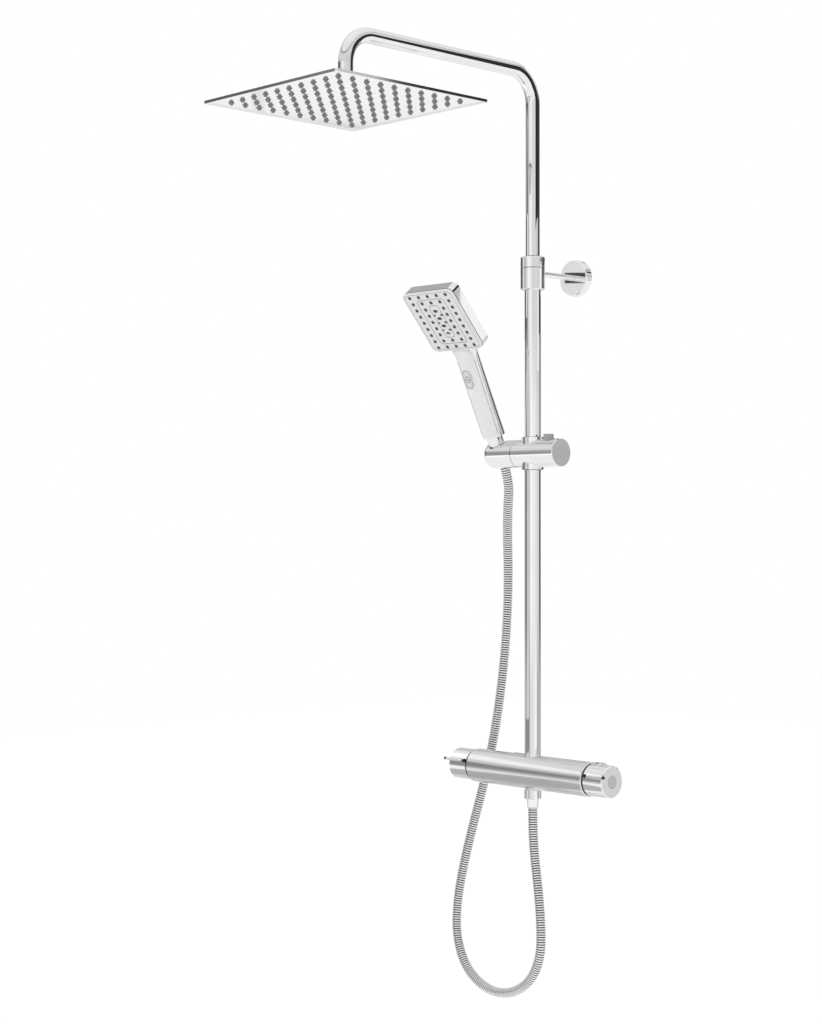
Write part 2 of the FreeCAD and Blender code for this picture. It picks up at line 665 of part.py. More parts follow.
def round_outline(sketch, head, radius, start, bottom):
    """An outline of straight sides that ends in a true arc about the sketch's centre."""
    a = math.radians(start)
    b = math.radians(bottom)
    r = radius.value
    neck_low = (Size.of(radius * round(math.sin(a), 9)), radius * round(math.cos(a), 9))
    bore_low = (radius * round(math.sin(b), 9), radius * round(math.cos(b), 9))
    spots = [(Size.of(p), Size.of(q)) for p, q in head] + [neck_low, bore_low]
    values = [V(p.value, q.value, 0) for p, q in spots]
    count = len(values)
    shapes = []
    for i in range(count):
        one = values[i]
        two = values[(i + 1) % count]
        if i == count - 2:
            circle = Part.Circle(V(0, 0, 0), V(0, 0, 1), r)
            shapes.append(Part.ArcOfCircle(circle, math.pi / 2 - b, math.pi / 2 - a))
        else:
            shapes.append(Part.LineSegment(one, two))
    sketch.addGeometry(shapes, False)
    arc = count - 2
    sketch.addConstraint(Sketcher.Constraint("Coincident", arc, 3, -1, 1))
    for i in range(count):
        end_side = 2
        if i == arc:
            end_side = 1
        start_side = 1
        if (i + 1) % count == arc:
            start_side = 2
        rule = Sketcher.Constraint("Coincident", i, end_side, (i + 1) % count, start_side)
        sketch.addConstraint(rule)
    for i, (p, q) in enumerate(spots[:-2]):
        for kind, size in (("DistanceX", p), ("DistanceY", q)):
            index = sketch.addConstraint(Sketcher.Constraint(kind, -1, 1, i, 1, size.value))
            if "Sizes" in size.text:
                sketch.setExpression("Constraints[%d]" % index, size.text)
    index = sketch.addConstraint(Sketcher.Constraint("Radius", arc, r))
    sketch.setExpression("Constraints[%d]" % index, radius.text)
    sketch.addConstraint(Sketcher.Constraint("Vertical", arc - 1))
    sketch.addConstraint(Sketcher.Constraint("Vertical", arc + 1))


def square(side):
    half = side / 2
    return [(-half, -half), (half, -half), (half, half), (-half, half)]


def nozzle_field(name, spots, low_radius, high_radius, low, high):
    """Straight or tapered stubs at the given spots, as one compound read from the sheet."""
    shapes = []
    for x, y in spots:
        base = V(x, y, low)
        if low_radius == high_radius:
            shapes.append(Part.makeCylinder(low_radius, high - low, base, V(0, 0, 1)))
        else:
            shapes.append(Part.makeCone(low_radius, high_radius, high - low, base, V(0, 0, 1)))
    piece = DOC.addObject("Part::Feature", name)
    piece.Shape = Part.makeCompound(shapes)
    return piece


def head_spots():
    pitch = z("nozzle_pitch").value
    steps = [(i - 4.5) * pitch for i in range(10)]
    return [(x, y) for x in steps for y in steps]


def build_rain_head():
    base = z("head_base")
    thick = z("face_thick")
    r = z("nozzle_dia").value / 2
    tip = z("nozzle_tip").value / 2
    rise = z("nozzle_rise").value
    face = padded("face_blank", square(z("head_side")), 0, thick)
    rounded(face, "face_corners", z("head_corner"), upright)
    holes = nozzle_field("face_holes", head_spots(), r, r, -1.0, thick.value + 1)
    rim = padded("lip_blank", square(z("head_side")), -z("lip_rise"), 0)
    rounded(rim, "lip_corners", z("head_corner"), upright)
    inside = padded("lip_inside", square(z("head_side") - z("lip_wall") * 2), -z("lip_rise") - 1, 0)
    rounded(inside, "lip_inside_corners", z("head_corner") - z("lip_wall"), upright)
    lip = minus("face_lip", rim, [inside])
    plate = minus("rain_head_face", joined("face_solid", [face, lip]), [holes])
    node(put(plate, head_spot(base)), "rain_head_face")
    mat = padded("mat_blank", square(z("cover_side") - z("cover_wall") * 2), thick,
                 thick + z("mat_thick"))
    rounded(mat, "mat_corners", z("cover_corner") - z("cover_wall"), upright)
    stubs = nozzle_field("head_stubs", head_spots(), r, r, 0.0, thick.value + z("mat_thick").value)
    foot = z("nozzle_foot").value / 2
    feet = nozzle_field("head_feet", head_spots(), foot, foot, -z("foot_rise").value, 0.0)
    tips = nozzle_field("head_tips", head_spots(), tip, r, -rise, 0.0)
    skin = joined("rain_nozzle_mat", [mat, stubs, feet, tips])
    node(put(skin, head_spot(base)), "rain_nozzle_mat")
    build_head_cover(base, thick)


def build_head_cover(base, thick):
    top = thick + z("cover_deep")
    tray = padded("cover_blank", square(z("cover_side")), thick, top)
    rounded(tray, "cover_corners", z("cover_corner"), upright)
    hollow = padded("cover_hollow", square(z("cover_side") - z("cover_wall") * 2), thick - 1,
                    top - z("cover_wall"))
    rounded(hollow, "hollow_corners", z("cover_corner") - z("cover_wall"), upright)
    hub = ring("cover_hub", 0, z("hub_dia") / 2, top - z("cover_wall"), z("hub_top") - base)
    cavity = z("ball_dia") / 2 + z("run_clear") + z("seat_thick") + z("seat_gap")
    ball = DOC.addObject("Part::Sphere", "cover_cavity")
    ball.Radius = cavity.value
    bind(ball, "Radius", cavity)
    put(ball, (0, 0, z("ball_height") - base))
    drain = rod("cover_drain", z("drain_bore") / 2, 0, 20)
    shell = joined("cover_solid", [minus("cover_tray", tray, [hollow]), hub])
    cover = minus("rain_head_cover", shell, [ball, drain])
    node(put(cover, head_spot(base)), "rain_head_cover")
    nut = turned("socket_blank", [
        (0, z("hub_top") - base), (z("hub_dia") / 2 + 0.6, z("hub_top") - base),
        (z("hub_dia") / 2 + 0.6, z("socket_top") - base - 3),
        (z("hub_dia") / 2 - 2.4, z("socket_top") - base), (0, z("socket_top") - base)])
    mouth = rod("socket_mouth", z("socket_open"), 20, 60)
    socket = minus("rain_head_socket_nut", nut, [ball, mouth])
    node(put(socket, head_spot(base)), "rain_head_socket_nut")


# ---------------------------------------------------------------- slider and cradle

def slider_spot(x=0.0):
    return (x, -z("riser_offset"), z("slider_height"))


def build_slider():
    half = z("sleeve_half")
    r = z("barrel_dia") / 2
    bush = z("bush_dia") / 2
    node(ring("slider_bush", z("low_dia") / 2 + z("run_clear"), bush, -half - 0.6, half + 0.6,
              slider_spot()), "slider_bush")
    right = z("barrel_right")
    left = -z("split_left") + z("washer_thick")
    bar = turned("barrel_bar", [
        (0, left), (r, left), (r, right - 0.8), (r - 0.8, right), (0, right)], slider_spot(), **RIGHT)
    sleeve = rod("barrel_sleeve", z("sleeve_dia") / 2, -half, half, slider_spot())
    bore = rod("barrel_bore", bush + z("run_clear"), -half - 1, half + 1, slider_spot())
    axle = rod("barrel_axle_way", z("axle_dia") / 2 + z("run_clear"), left - 1,
               -z("axle_inner") + 0.5, slider_spot(), **RIGHT)
    well = rod("button_well", z("button_dia") / 2 + z("run_clear"), 2, r + 10,
               slider_spot(z("button_place")))
    cap = rod("cap_seat", z("endcap_dia") / 2, right - z("endcap_thick"), right + 1,
              slider_spot(), **RIGHT)
    node(minus("slider_barrel", joined("barrel_solid", [bar, sleeve]), [bore, axle, well, cap]),
         "slider_barrel")
    node(turned("slider_end_cap", [
        (0, right - z("endcap_thick")), (z("endcap_dia") / 2, right - z("endcap_thick")),
        (z("endcap_dia") / 2, right - 0.3), (z("endcap_dia") / 2 - 0.3, right), (0, right)],
        slider_spot(), **RIGHT), "slider_end_cap")
    b = z("button_dia") / 2
    top = r + z("button_rise")
    node(turned("release_button", [
        (0, 8), (b, 8), (b, top - 0.8), (b - 0.8, top), (0, top)],
        slider_spot(z("button_place"))), "release_button")
    node(ring("friction_washer", z("axle_dia") / 2 + z("free_gap"), r - 2,
              left - z("washer_thick") + 0.3, left, slider_spot(), **RIGHT), "friction_washer")


def tilted(x, height=0.0):
    """Keyword placement for pieces built on the hand shower's own axis."""
    return dict(at=(x, -z("riser_offset"), z("slider_height") + height), axis=(1, 0, 0),
                angle=z("cradle_tilt"))


def cone_radius(height, grow=0.0):
    """Radius of the hose cone at a height on the hand shower's axis."""
    slope = (z("cone_high") - z("cone_low")) / 2 / (z("cone_rise") + z("cone_drop"))
    return z("cone_low") / 2 + (height + z("cone_drop")) * slope + grow


def build_cradle():
    r = z("barrel_dia") / 2
    right = -z("split_left")
    left = -z("cradle_left")
    bar = turned("cradle_bar", [(0, left), (r, left), (r, right), (0, right)], slider_spot(), **RIGHT)
    rounded(bar, "cradle_end", z("cradle_edge"),
            lambda e: abs(e.BoundBox.ZMin - left.value) < 0.01 and e.BoundBox.ZLength < 0.01
            and e.BoundBox.XLength > 10)
    at = tilted(-z("bore_place"))
    trim = block("cradle_trim", (-60, 60), (-40, 40), (z("flat_rise"), 60), **at)
    start = z("cone_start")
    gap = z("seat_gap")
    bore = turned("cradle_bore", [
        (0, -40), (cone_radius(-z("cone_drop"), gap), -40),
        (cone_radius(-z("cone_drop"), gap), -z("cone_drop")), (cone_radius(start, gap), start),
        (z("bore_top") / 2, z("flat_rise")), (z("bore_top") / 2, 60), (0, 60)], **at)
    stud = rod("cradle_stud_hole", z("axle_dia") / 2, right - 14, right + 1, slider_spot(), **RIGHT)
    node(minus("cradle", bar, [trim, bore, stud]), "cradle")
    node(rod("cradle_axle", z("axle_dia") / 2, right - 6.5, -z("axle_inner"), slider_spot(), **RIGHT),
         "cradle_axle")


def build_cone_nut():
    at = tilted(-z("bore_place"))
    low = -z("cone_drop")
    high = z("cone_rise")
    water = z("water_dia") / 2 + z("run_clear")
    node(turned("hose_cone_nut", [
        (z("hose_bore") / 2, low), (cone_radius(low), low), (cone_radius(high), high),
        (water, high), (water, high - 12), (z("hose_bore") / 2, high - 12)],
        **at), "hose_cone_nut")


# ---------------------------------------------------------------- hand shower

def oval(name, wide, deep, height, shift=0.0, bend=0.0):
    """An ellipse across the handle, wider than it is deep, leaning by `bend` degrees."""
    rim = DOC.addObject("Part::Ellipse", name)
    rim.MajorRadius = (Size.of(wide) / 2).value
    rim.MinorRadius = (Size.of(deep) / 2).value
    bind(rim, "MajorRadius", Size.of(wide) / 2)
    bind(rim, "MinorRadius", Size.of(deep) / 2)
    return put(rim, (0, shift, height), (1, 0, 0), bend)


# Ovals of the neck: share of the flare's span, of its width and of its thinning, then the
# oval's forward shift and its lean in degrees.
NECK_OUTSIDE = [(0.5, 0.3, 0.5, -1.5, 8.0), (1.0, 0.8, 1.2, -5.0, 15.0)]
NECK_INSIDE = [(1.0, 0.3, 1.1, -4.0, 15.0)]


def handle_solid(name, shrink, flares):
    """The handle from its foot to the neck, as a loft through ovals."""
    foot = z("cone_rise") + z("foot_gap") + shrink * 0.6
    rims = []
    stations = [(0.0, 0.0), (0.5, 0.35), (1.0, 1.0)]
    for i, (along, blend) in enumerate(stations):
        wide = z("handle_wide") + (z("neck_wide") - z("handle_wide")) * blend - shrink * 2
        deep = z("handle_deep") + (z("neck_deep") - z("handle_deep")) * blend - shrink * 2
        height = foot + (z("handle_end") - foot) * along
        rims.append(oval("%s_rim%d" % (name, i), wide, deep, height))
    flare = z("flare_span")
    neck = [rims[-1]]
    for i, (along, spread, thin, shift, lean) in enumerate(flares):
        wide = z("neck_wide") + z("flare_wide") * spread - shrink * 2
        deep = z("neck_deep") + (z("neck_thin") - z("neck_deep")) * thin - shrink * 1.2
        neck.append(oval("%s_neck%d" % (name, i), wide, deep, z("handle_end") + flare * along,
                         shift, lean))
    return joined(name, [lofted(name + "_stem", rims), lofted(name + "_neck", neck)])


def lofted(name, rims):
    """A smooth solid through a row of closed outlines."""
    loft = DOC.addObject("Part::Loft", name)
    loft.Sections = rims
    loft.Solid = True
    loft.Ruled = False
    return loft


def head_place():
    """The head's own frame: its face looks along -Y, its centre lies up the bent neck."""
    bend = z("hand_bend")
    turn = math.radians(bend.value)
    y = z("hand_centre") * round(-math.sin(turn), 6)
    h = z("hand_start") + z("hand_centre") * round(math.cos(turn), 6)
    return dict(at=(0, y, h), axis=(1, 0, 0), angle=bend)


def head_slab(name, inset, front, back):
    """The head as a rounded slab; `front` and `back` are depths along its own Y."""
    wide = z("hand_side") / 2 - inset
    long = z("hand_long") / 2 - inset
    place = head_place()
    points = [(-wide, -long), (wide, -long), (wide, long), (-wide, long)]
    body = DOC.addObject("PartDesign::Body", name)
    sketch = outline(body, points, "XZ_Plane")
    bind(sketch, ".AttachmentOffset.Base.z", -Size.of(back))
    pad = body.newObject("PartDesign::Pad", name + "_pad")
    pad.Profile = sketch
    pad.Length = (Size.of(back) - front).value
    bind(pad, "Length", Size.of(back) - front)
    rounded(body, name + "_corners", z("hand_round") - inset,
            lambda e: e.Curve.TypeId == "Part::GeomLine" and e.BoundBox.YLength > 1
            and e.BoundBox.XLength < 0.01)
    return put(body, **place)


def hand_spots():
    """Nozzle spots on the hand shower's face, across and along."""
    px = z("hand_pitch_x").value
    py = z("hand_pitch_y").value
    spots = []
    for i in range(-2, 3):
        for j in range(-4, 5):
            if i != 0 or abs(j) > 2:
                spots.append((i * px, j * py))
    return spots


def face_stubs(name, radius, front, back):
    """Round stubs through the hand shower's face, read from the sheet."""
    place = head_place()
    turn = FreeCAD.Rotation(V(1, 0, 0), place["angle"].value)
    spot = V(0, place["at"][1].value, place["at"][2].value)
    shapes = []
    for x, h in hand_spots():
        base = spot + turn.multVec(V(x, front, h))
        shapes.append(Part.makeCylinder(radius, back - front, base, turn.multVec(V(0, 1, 0))))
    piece = DOC.addObject("Part::Feature", name)
    piece.Shape = Part.makeCompound(shapes)
    return piece


def build_hand_shower():
    at = tilted(-z("bore_place"))
    half = z("hand_thick") / 2
    front = -half
    outer = joined("hand_outer", [handle_solid("hand_handle", Size.of(0.0), NECK_OUTSIDE),
                                  head_slab("hand_head", 0.0, front, half)])
    wall = z("handle_wall")
    inner = joined("hand_inner", [
        handle_solid("hand_handle_in", wall, NECK_INSIDE),
        head_slab("hand_head_in", wall, front + z("plate_deep"), half - 2.2)])
    entry = rod("hand_entry", z("water_dia") / 2, 0, z("cone_rise") + 8)
    place = head_place()
    seam = z("seam_front")
    zone_low = block("zone_handle", (-70, 70), (-60, -seam), (0, z("handle_end") - 6.0))
    zone_high = block("zone_head", (-70, 70), (-60, front + z("plate_deep")),
                      (-z("hand_centre") - 9.0, 90), **place)
    zone = joined("front_zone", [zone_low, zone_high])
    shell = minus("handset_shell", outer, [inner, zone, entry])
    holes = face_stubs("hand_holes", z("hand_nozzle").value / 2, front.value - 2,
                       front.value + z("plate_deep").value + 0.5)
    key = mode_shape("mode_pocket", z("run_clear"), -40.0)
    face = minus("handset_face", shared("face_skin", [outer, zone]), [inner, entry, holes, key])
    node(put(shell, **at), "handset_shell")
    node(put(face, **at), "handset_face")
    back = front + z("plate_deep")
    mat = head_slab("hand_mat_slab", wall + 0.4, back, back + z("hand_mat"))
    stubs = face_stubs("hand_stubs", z("hand_nozzle").value / 2,
                       front.value - z("hand_nozzle_rise").value, back.value + 0.2)
    node(put(joined("handset_nozzle_mat", [mat, stubs]), **at), "handset_nozzle_mat")
    pipe = ring("water_pipe", z("water_bore") / 2, z("water_dia") / 2, z("cone_rise") - 10,
                z("handle_end") - 14)
    node(put(pipe, **at), "handset_water_pipe")
    node(put(mode_shape("mode_button", 0.0, None), **at), "mode_button")


def mode_shape(name, grow, back):
    """The oblong mode key on the handle's front."""
    wide = z("mode_wide") / 2 + grow
    long = z("mode_long") / 2 + grow
    mid = z("mode_place")
    face = -z("handle_deep") / 2 - z("mode_rise") + 0.9
    rear = face + z("mode_deep")
    if back is not None:
        face = Size.of(back)
        rear = -z("handle_deep") / 2 - z("mode_rise") + 0.9 + z("mode_deep") + 1.4
    body = DOC.addObject("PartDesign::Body", name)
    sketch = outline(body, [(-wide, mid - long), (wide, mid - long), (wide, mid + long),
                            (-wide, mid + long)], "XZ_Plane")
    bind(sketch, ".AttachmentOffset.Base.z", -rear)
    pad = body.newObject("PartDesign::Pad", name + "_pad")
    pad.Profile = sketch
    pad.Length = (rear - face).value
    bind(pad, "Length", rear - face)
    rounded(body, name + "_ends", z("mode_wide") / 2 - 0.6,
            lambda e: e.Curve.TypeId == "Part::GeomLine" and e.BoundBox.YLength > 1
            and e.BoundBox.XLength < 0.01)
    return body


# ---------------------------------------------------------------- hose

def hose_points():
    """The hose's route from the mixer's outlet to the cone in the cradle."""
    x = -z("bore_place").value
    y = -z("riser_offset").value
    tilt = math.radians(z("cradle_tilt").value)
    height = z("slider_height").value
    low = -z("hose_nut_top").value - z("hose_nut_span").value - z("ferrule_span").value

    def along(depth):
        return (x, y + depth * math.sin(tilt), height - depth * math.cos(tilt))

    drop = z("cone_drop").value
    return [
        (0.0, y, low), (0.0, y, low - 46.0), (9.0, y, -150.0), (15.0, y, -202.0), (15.0, y, -250.0),
        (-7.0, y, -289.0), (-48.0, -54.0, -311.0), (-94.0, -52.0, -311.0), (-134.0, -49.0, -289.0),
        (-157.0, -45.0, -250.0), (-162.0, -39.0, -203.0), (-157.0, -31.0, -150.0),
        (-146.0, -23.0, -93.0), (-131.0, -16.0, -33.0), (-116.5, -10.6, 33.0), (-106.5, -8.2, 92.0),
        (-101.0, -3.9, 155.0), (-99.6, 0.0, 214.0), (-98.3, 0.0, 266.0), (-91.0, -9.1, 316.0),
        (-76.5, -24.2, 354.0), along(drop + 25.5), along(drop)]


def rounded_route(points):
    """Straight runs joined by tangent arcs, one arc in every corner."""
    spots = [V(*p) for p in points]
    edges = []
    radii = []
    here = spots[0]
    for before, corner, after in zip(spots, spots[1:], spots[2:]):
        one = before - corner
        two = after - corner
        short = min(one.Length, two.Length)
        one.normalize()
        two.normalize()
        turn = math.pi - one.getAngle(two)
        cut = 0.45 * short
        radii.append(cut / math.tan(turn / 2))
        first = corner + one * cut
        last = corner + two * cut
        centre_way = one + two
        centre_way.normalize()
        reach = radii[-1] / math.cos(turn / 2)
        middle = corner + centre_way * (reach - radii[-1])
        edges.append(Part.LineSegment(here, first).toShape())
        edges.append(Part.Arc(first, middle, last).toShape())
        here = last
    edges.append(Part.LineSegment(here, spots[-1]).toShape())
    return Part.Wire(edges), radii


def build_hose():
    points = hose_points()
    spine, radii = rounded_route(points)
    start = V(*points[0])
    way = V(*points[1]) - start
    way.normalize()
    tube = swept_tube("hose", spine, z("hose_dia").value, z("hose_bore").value, start, way)
    node(tube, "hose")
    area = math.pi / 4 * (z("hose_dia").value ** 2 - z("hose_bore").value ** 2)
    print("hose length %.1f, smallest radius %.1f" % (spine.Length, min(radii)))
    print("hose radii " + " ".join("%.0f" % r for r in radii))
    print("hose volume / (section x length) %.5f" % (tube.Shape.Volume / (area * spine.Length)))


# ---------------------------------------------------------------- build and write

def check():
    for obj in DOC.Objects:
        for word in ("Invalid", "Error"):
            if word in obj.State:
                raise RuntimeError("%s is %s" % (obj.Label, obj.State))
    for name, obj in NODES:
        shape = obj.Shape
        if shape.isNull() or not shape.isValid() or not shape.Solids:
            raise RuntimeError("bad shape: " + name)


def write():
    os.makedirs("parts", exist_ok=True)
    for name, obj in NODES:
        obj.Shape.exportStep(os.path.join("parts", name + ".step"))
        box = obj.Shape.BoundBox
        print("%-22s solids %3d  x %8.2f %8.2f  y %8.2f %8.2f  z %8.2f %8.2f" % (
            name, len(obj.Shape.Solids), box.XMin, box.XMax, box.YMin, box.YMax, box.ZMin, box.ZMax))


fill_sheet()
build_mixer_body()
build_inlets()
build_cartridge("flow_cartridge", LEFT)
build_cartridge("thermostat_cartridge", RIGHT)
build_stop_ring("flow_stop_ring", LEFT)
build_stop_ring("temperature_stop_ring", RIGHT)
build_handle("flow", -1)
build_handle("temperature", 1)
build_safety_button()
build_outlet()
build_riser()
build_bracket()
build_wall_fixing()
build_upper_tube()
build_lift_joint()
build_ball_joint()
build_rain_head()
build_slider()
build_cradle()
build_cone_nut()
build_hand_shower()
build_hose()
DOC.recompute()
check()
write()
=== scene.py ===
import json
import math

import bpy
import numpy as np
from mathutils import Vector
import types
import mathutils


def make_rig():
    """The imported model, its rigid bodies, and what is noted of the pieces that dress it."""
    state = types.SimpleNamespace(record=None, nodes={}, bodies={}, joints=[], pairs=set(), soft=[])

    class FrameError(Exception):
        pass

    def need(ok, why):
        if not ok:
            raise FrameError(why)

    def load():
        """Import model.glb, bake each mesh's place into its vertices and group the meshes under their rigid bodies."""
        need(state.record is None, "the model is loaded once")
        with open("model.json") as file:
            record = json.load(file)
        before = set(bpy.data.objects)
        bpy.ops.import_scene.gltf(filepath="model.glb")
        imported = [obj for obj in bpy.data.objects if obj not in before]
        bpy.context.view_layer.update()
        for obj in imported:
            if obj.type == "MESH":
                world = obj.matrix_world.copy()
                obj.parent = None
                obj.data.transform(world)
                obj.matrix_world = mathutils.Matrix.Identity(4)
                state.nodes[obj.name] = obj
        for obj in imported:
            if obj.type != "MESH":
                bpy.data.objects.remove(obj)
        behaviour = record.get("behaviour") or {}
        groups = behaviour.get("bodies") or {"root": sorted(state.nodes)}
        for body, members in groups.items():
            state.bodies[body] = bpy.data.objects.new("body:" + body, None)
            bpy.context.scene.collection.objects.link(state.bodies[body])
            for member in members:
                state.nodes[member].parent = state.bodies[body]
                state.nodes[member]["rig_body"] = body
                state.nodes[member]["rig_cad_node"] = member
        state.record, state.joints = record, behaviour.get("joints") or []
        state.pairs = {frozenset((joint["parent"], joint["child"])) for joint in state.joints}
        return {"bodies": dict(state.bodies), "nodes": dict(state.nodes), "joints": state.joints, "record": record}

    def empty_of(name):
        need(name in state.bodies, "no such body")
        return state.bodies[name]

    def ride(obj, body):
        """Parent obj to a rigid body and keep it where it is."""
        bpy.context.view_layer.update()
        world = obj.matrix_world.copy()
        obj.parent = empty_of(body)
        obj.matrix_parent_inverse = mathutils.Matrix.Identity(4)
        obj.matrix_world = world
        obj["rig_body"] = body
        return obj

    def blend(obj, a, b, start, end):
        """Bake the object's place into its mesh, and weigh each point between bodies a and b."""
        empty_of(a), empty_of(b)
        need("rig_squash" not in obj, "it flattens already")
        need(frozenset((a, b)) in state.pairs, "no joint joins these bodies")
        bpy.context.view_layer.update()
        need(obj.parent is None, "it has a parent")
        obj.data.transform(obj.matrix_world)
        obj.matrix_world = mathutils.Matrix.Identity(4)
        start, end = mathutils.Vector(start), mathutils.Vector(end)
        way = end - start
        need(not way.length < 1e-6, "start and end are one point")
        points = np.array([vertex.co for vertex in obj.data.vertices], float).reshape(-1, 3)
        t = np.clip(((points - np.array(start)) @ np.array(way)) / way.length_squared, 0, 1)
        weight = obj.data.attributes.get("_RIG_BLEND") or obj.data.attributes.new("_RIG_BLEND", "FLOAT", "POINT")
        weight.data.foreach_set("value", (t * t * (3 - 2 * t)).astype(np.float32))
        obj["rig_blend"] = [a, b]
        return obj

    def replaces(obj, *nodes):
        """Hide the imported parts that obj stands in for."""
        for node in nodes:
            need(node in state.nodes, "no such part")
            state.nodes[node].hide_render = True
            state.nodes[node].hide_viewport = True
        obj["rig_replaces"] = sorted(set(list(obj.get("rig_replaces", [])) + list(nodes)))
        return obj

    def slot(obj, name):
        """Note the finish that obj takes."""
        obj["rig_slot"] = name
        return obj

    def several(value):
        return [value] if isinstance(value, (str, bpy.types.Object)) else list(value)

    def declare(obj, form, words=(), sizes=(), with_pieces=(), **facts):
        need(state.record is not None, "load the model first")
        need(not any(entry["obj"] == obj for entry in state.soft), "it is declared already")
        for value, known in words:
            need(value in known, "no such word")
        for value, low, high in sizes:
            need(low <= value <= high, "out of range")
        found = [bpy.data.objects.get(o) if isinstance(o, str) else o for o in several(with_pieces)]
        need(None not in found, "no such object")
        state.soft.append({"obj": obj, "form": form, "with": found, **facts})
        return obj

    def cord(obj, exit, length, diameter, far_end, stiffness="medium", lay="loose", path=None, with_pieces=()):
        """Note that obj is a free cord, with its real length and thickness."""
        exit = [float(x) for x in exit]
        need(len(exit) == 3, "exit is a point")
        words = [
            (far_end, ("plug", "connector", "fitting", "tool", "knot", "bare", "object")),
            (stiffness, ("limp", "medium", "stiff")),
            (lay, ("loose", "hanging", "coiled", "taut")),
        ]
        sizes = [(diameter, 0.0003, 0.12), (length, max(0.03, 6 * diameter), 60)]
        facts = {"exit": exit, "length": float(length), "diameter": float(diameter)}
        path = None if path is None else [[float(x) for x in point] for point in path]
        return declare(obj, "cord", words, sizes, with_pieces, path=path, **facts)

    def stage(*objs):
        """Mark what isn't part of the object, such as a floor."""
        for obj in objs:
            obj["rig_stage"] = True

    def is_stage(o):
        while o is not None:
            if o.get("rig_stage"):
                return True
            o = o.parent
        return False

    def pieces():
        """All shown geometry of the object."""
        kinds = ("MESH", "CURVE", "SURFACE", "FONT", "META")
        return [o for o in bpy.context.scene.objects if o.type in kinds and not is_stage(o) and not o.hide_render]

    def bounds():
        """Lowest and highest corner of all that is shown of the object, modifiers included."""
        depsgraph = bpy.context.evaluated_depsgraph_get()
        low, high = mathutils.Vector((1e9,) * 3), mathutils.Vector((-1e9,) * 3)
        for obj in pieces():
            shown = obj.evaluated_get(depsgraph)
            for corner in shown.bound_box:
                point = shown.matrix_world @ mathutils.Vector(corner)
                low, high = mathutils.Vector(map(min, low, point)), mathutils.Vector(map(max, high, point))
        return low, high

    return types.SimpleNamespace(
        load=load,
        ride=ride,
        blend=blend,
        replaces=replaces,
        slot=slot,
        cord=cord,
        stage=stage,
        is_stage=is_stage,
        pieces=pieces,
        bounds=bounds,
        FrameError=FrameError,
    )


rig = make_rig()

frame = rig.load()
nodes = frame["nodes"]

# Places that the CAD model sets, in metres: the riser's axis, the rain head's middle, the slider's
# height, the holder's bore and the hand shower's tilt.
RISER_Y = -0.055
HEAD_Y = -0.395
HEAD_Z = 0.861
SLIDER_Z = 0.433
BORE_X = -0.061
TILT = math.radians(26.0)
# The height of the groove between the bracket's rings, and each knob's end disc from the middle.
SPLIT_Z = 0.6845
DISC_X = 0.1408


def save_size(key):
    """Write the shown object's corners to extents.json, under one key."""
    path = "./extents.json"
    known = {}
    if key == "after":
        known = json.load(open(path))
    low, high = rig.bounds()
    known[key] = [list(low), list(high)]
    json.dump(known, open(path, "w"))


save_size("before")


# ------------------------------------------------------------------ camera

def build_camera():
    """A level camera to the right of the column, at the height of its middle."""
    data = bpy.data.cameras.new("camera")
    data.sensor_width = 36.0
    data.lens = 68.645390625
    data.clip_end = 60.0
    camera = bpy.data.objects.new("camera", data)
    bpy.context.scene.collection.objects.link(camera)
    camera.location = (1.8093, -2.0021, 0.347)
    camera.rotation_euler = (math.radians(90.0) + 0.0024, 0.0, 0.811)
    bpy.context.scene.camera = camera


build_camera()


# ------------------------------------------------------------------ mesh tools

def add_mesh(name, verts, faces, body, smooth=True):
    """A mesh object from vertex and face arrays, riding on a CAD body."""
    mesh = bpy.data.meshes.new(name)
    mesh.from_pydata(np.asarray(verts, float).tolist(), [], [list(map(int, f)) for f in faces])
    mesh.polygons.foreach_set("use_smooth", [smooth] * len(mesh.polygons))
    mesh.update()
    obj = bpy.data.objects.new(name, mesh)
    bpy.context.scene.collection.objects.link(obj)
    if body is not None:
        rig.ride(obj, body)
    return obj


def grid_faces(nu, nv, close_u=False, close_v=False, first=0):
    """Quads of a (nu, nv) grid of vertices stored row by row."""
    iu = np.arange(nu if close_u else nu - 1)
    iv = np.arange(nv if close_v else nv - 1)
    a, b = np.meshgrid(iu, iv, indexing="ij")
    a2 = (a + 1) % nu
    b2 = (b + 1) % nv
    quads = np.stack([a * nv + b, a2 * nv + b, a2 * nv + b2, a * nv + b2], -1)
    return quads.reshape(-1, 4) + first


def frames_along(path):
    """Two side vectors at each point of a path, which turn as little as possible along it."""
    path = np.asarray(path, float)
    tangent = np.gradient(path, axis=0)
    tangent /= np.linalg.norm(tangent, axis=1)[:, None]
    side = np.zeros_like(path)
    guess = np.cross(tangent[0], [0.0, 0.0, 1.0])
    if np.linalg.norm(guess) < 0.01:
        guess = np.cross(tangent[0], [1.0, 0.0, 0.0])
    side[0] = guess / np.linalg.norm(guess)
    for i in range(1, len(path)):
        v = side[i - 1] - tangent[i] * (side[i - 1] @ tangent[i])
        side[i] = v / np.linalg.norm(v)
    return side, np.cross(tangent, side)


def resample(path, places):
    """Points of a polyline at the given distances along it."""
    path = np.asarray(path, float)
    steps = np.linalg.norm(np.diff(path, axis=0), axis=1)
    run = np.concatenate([[0.0], np.cumsum(steps)])
    return np.stack([np.interp(places, run, path[:, k]) for k in range(3)], -1)


def path_length(path):
    return float(np.linalg.norm(np.diff(np.asarray(path), axis=0), axis=1).sum())


# ------------------------------------------------------------------ hose

HOSE_DIA = 0.013
RIB_PITCH = 0.0033
# The three upper lengths of the hose, and where the loop starts and stops to follow the slider.
TOP_LENGTH = 0.084
LOOP_START = Vector((-0.010, -0.030, -0.020))
LOOP_WAY = Vector((-0.150, 0.0, 0.0525))


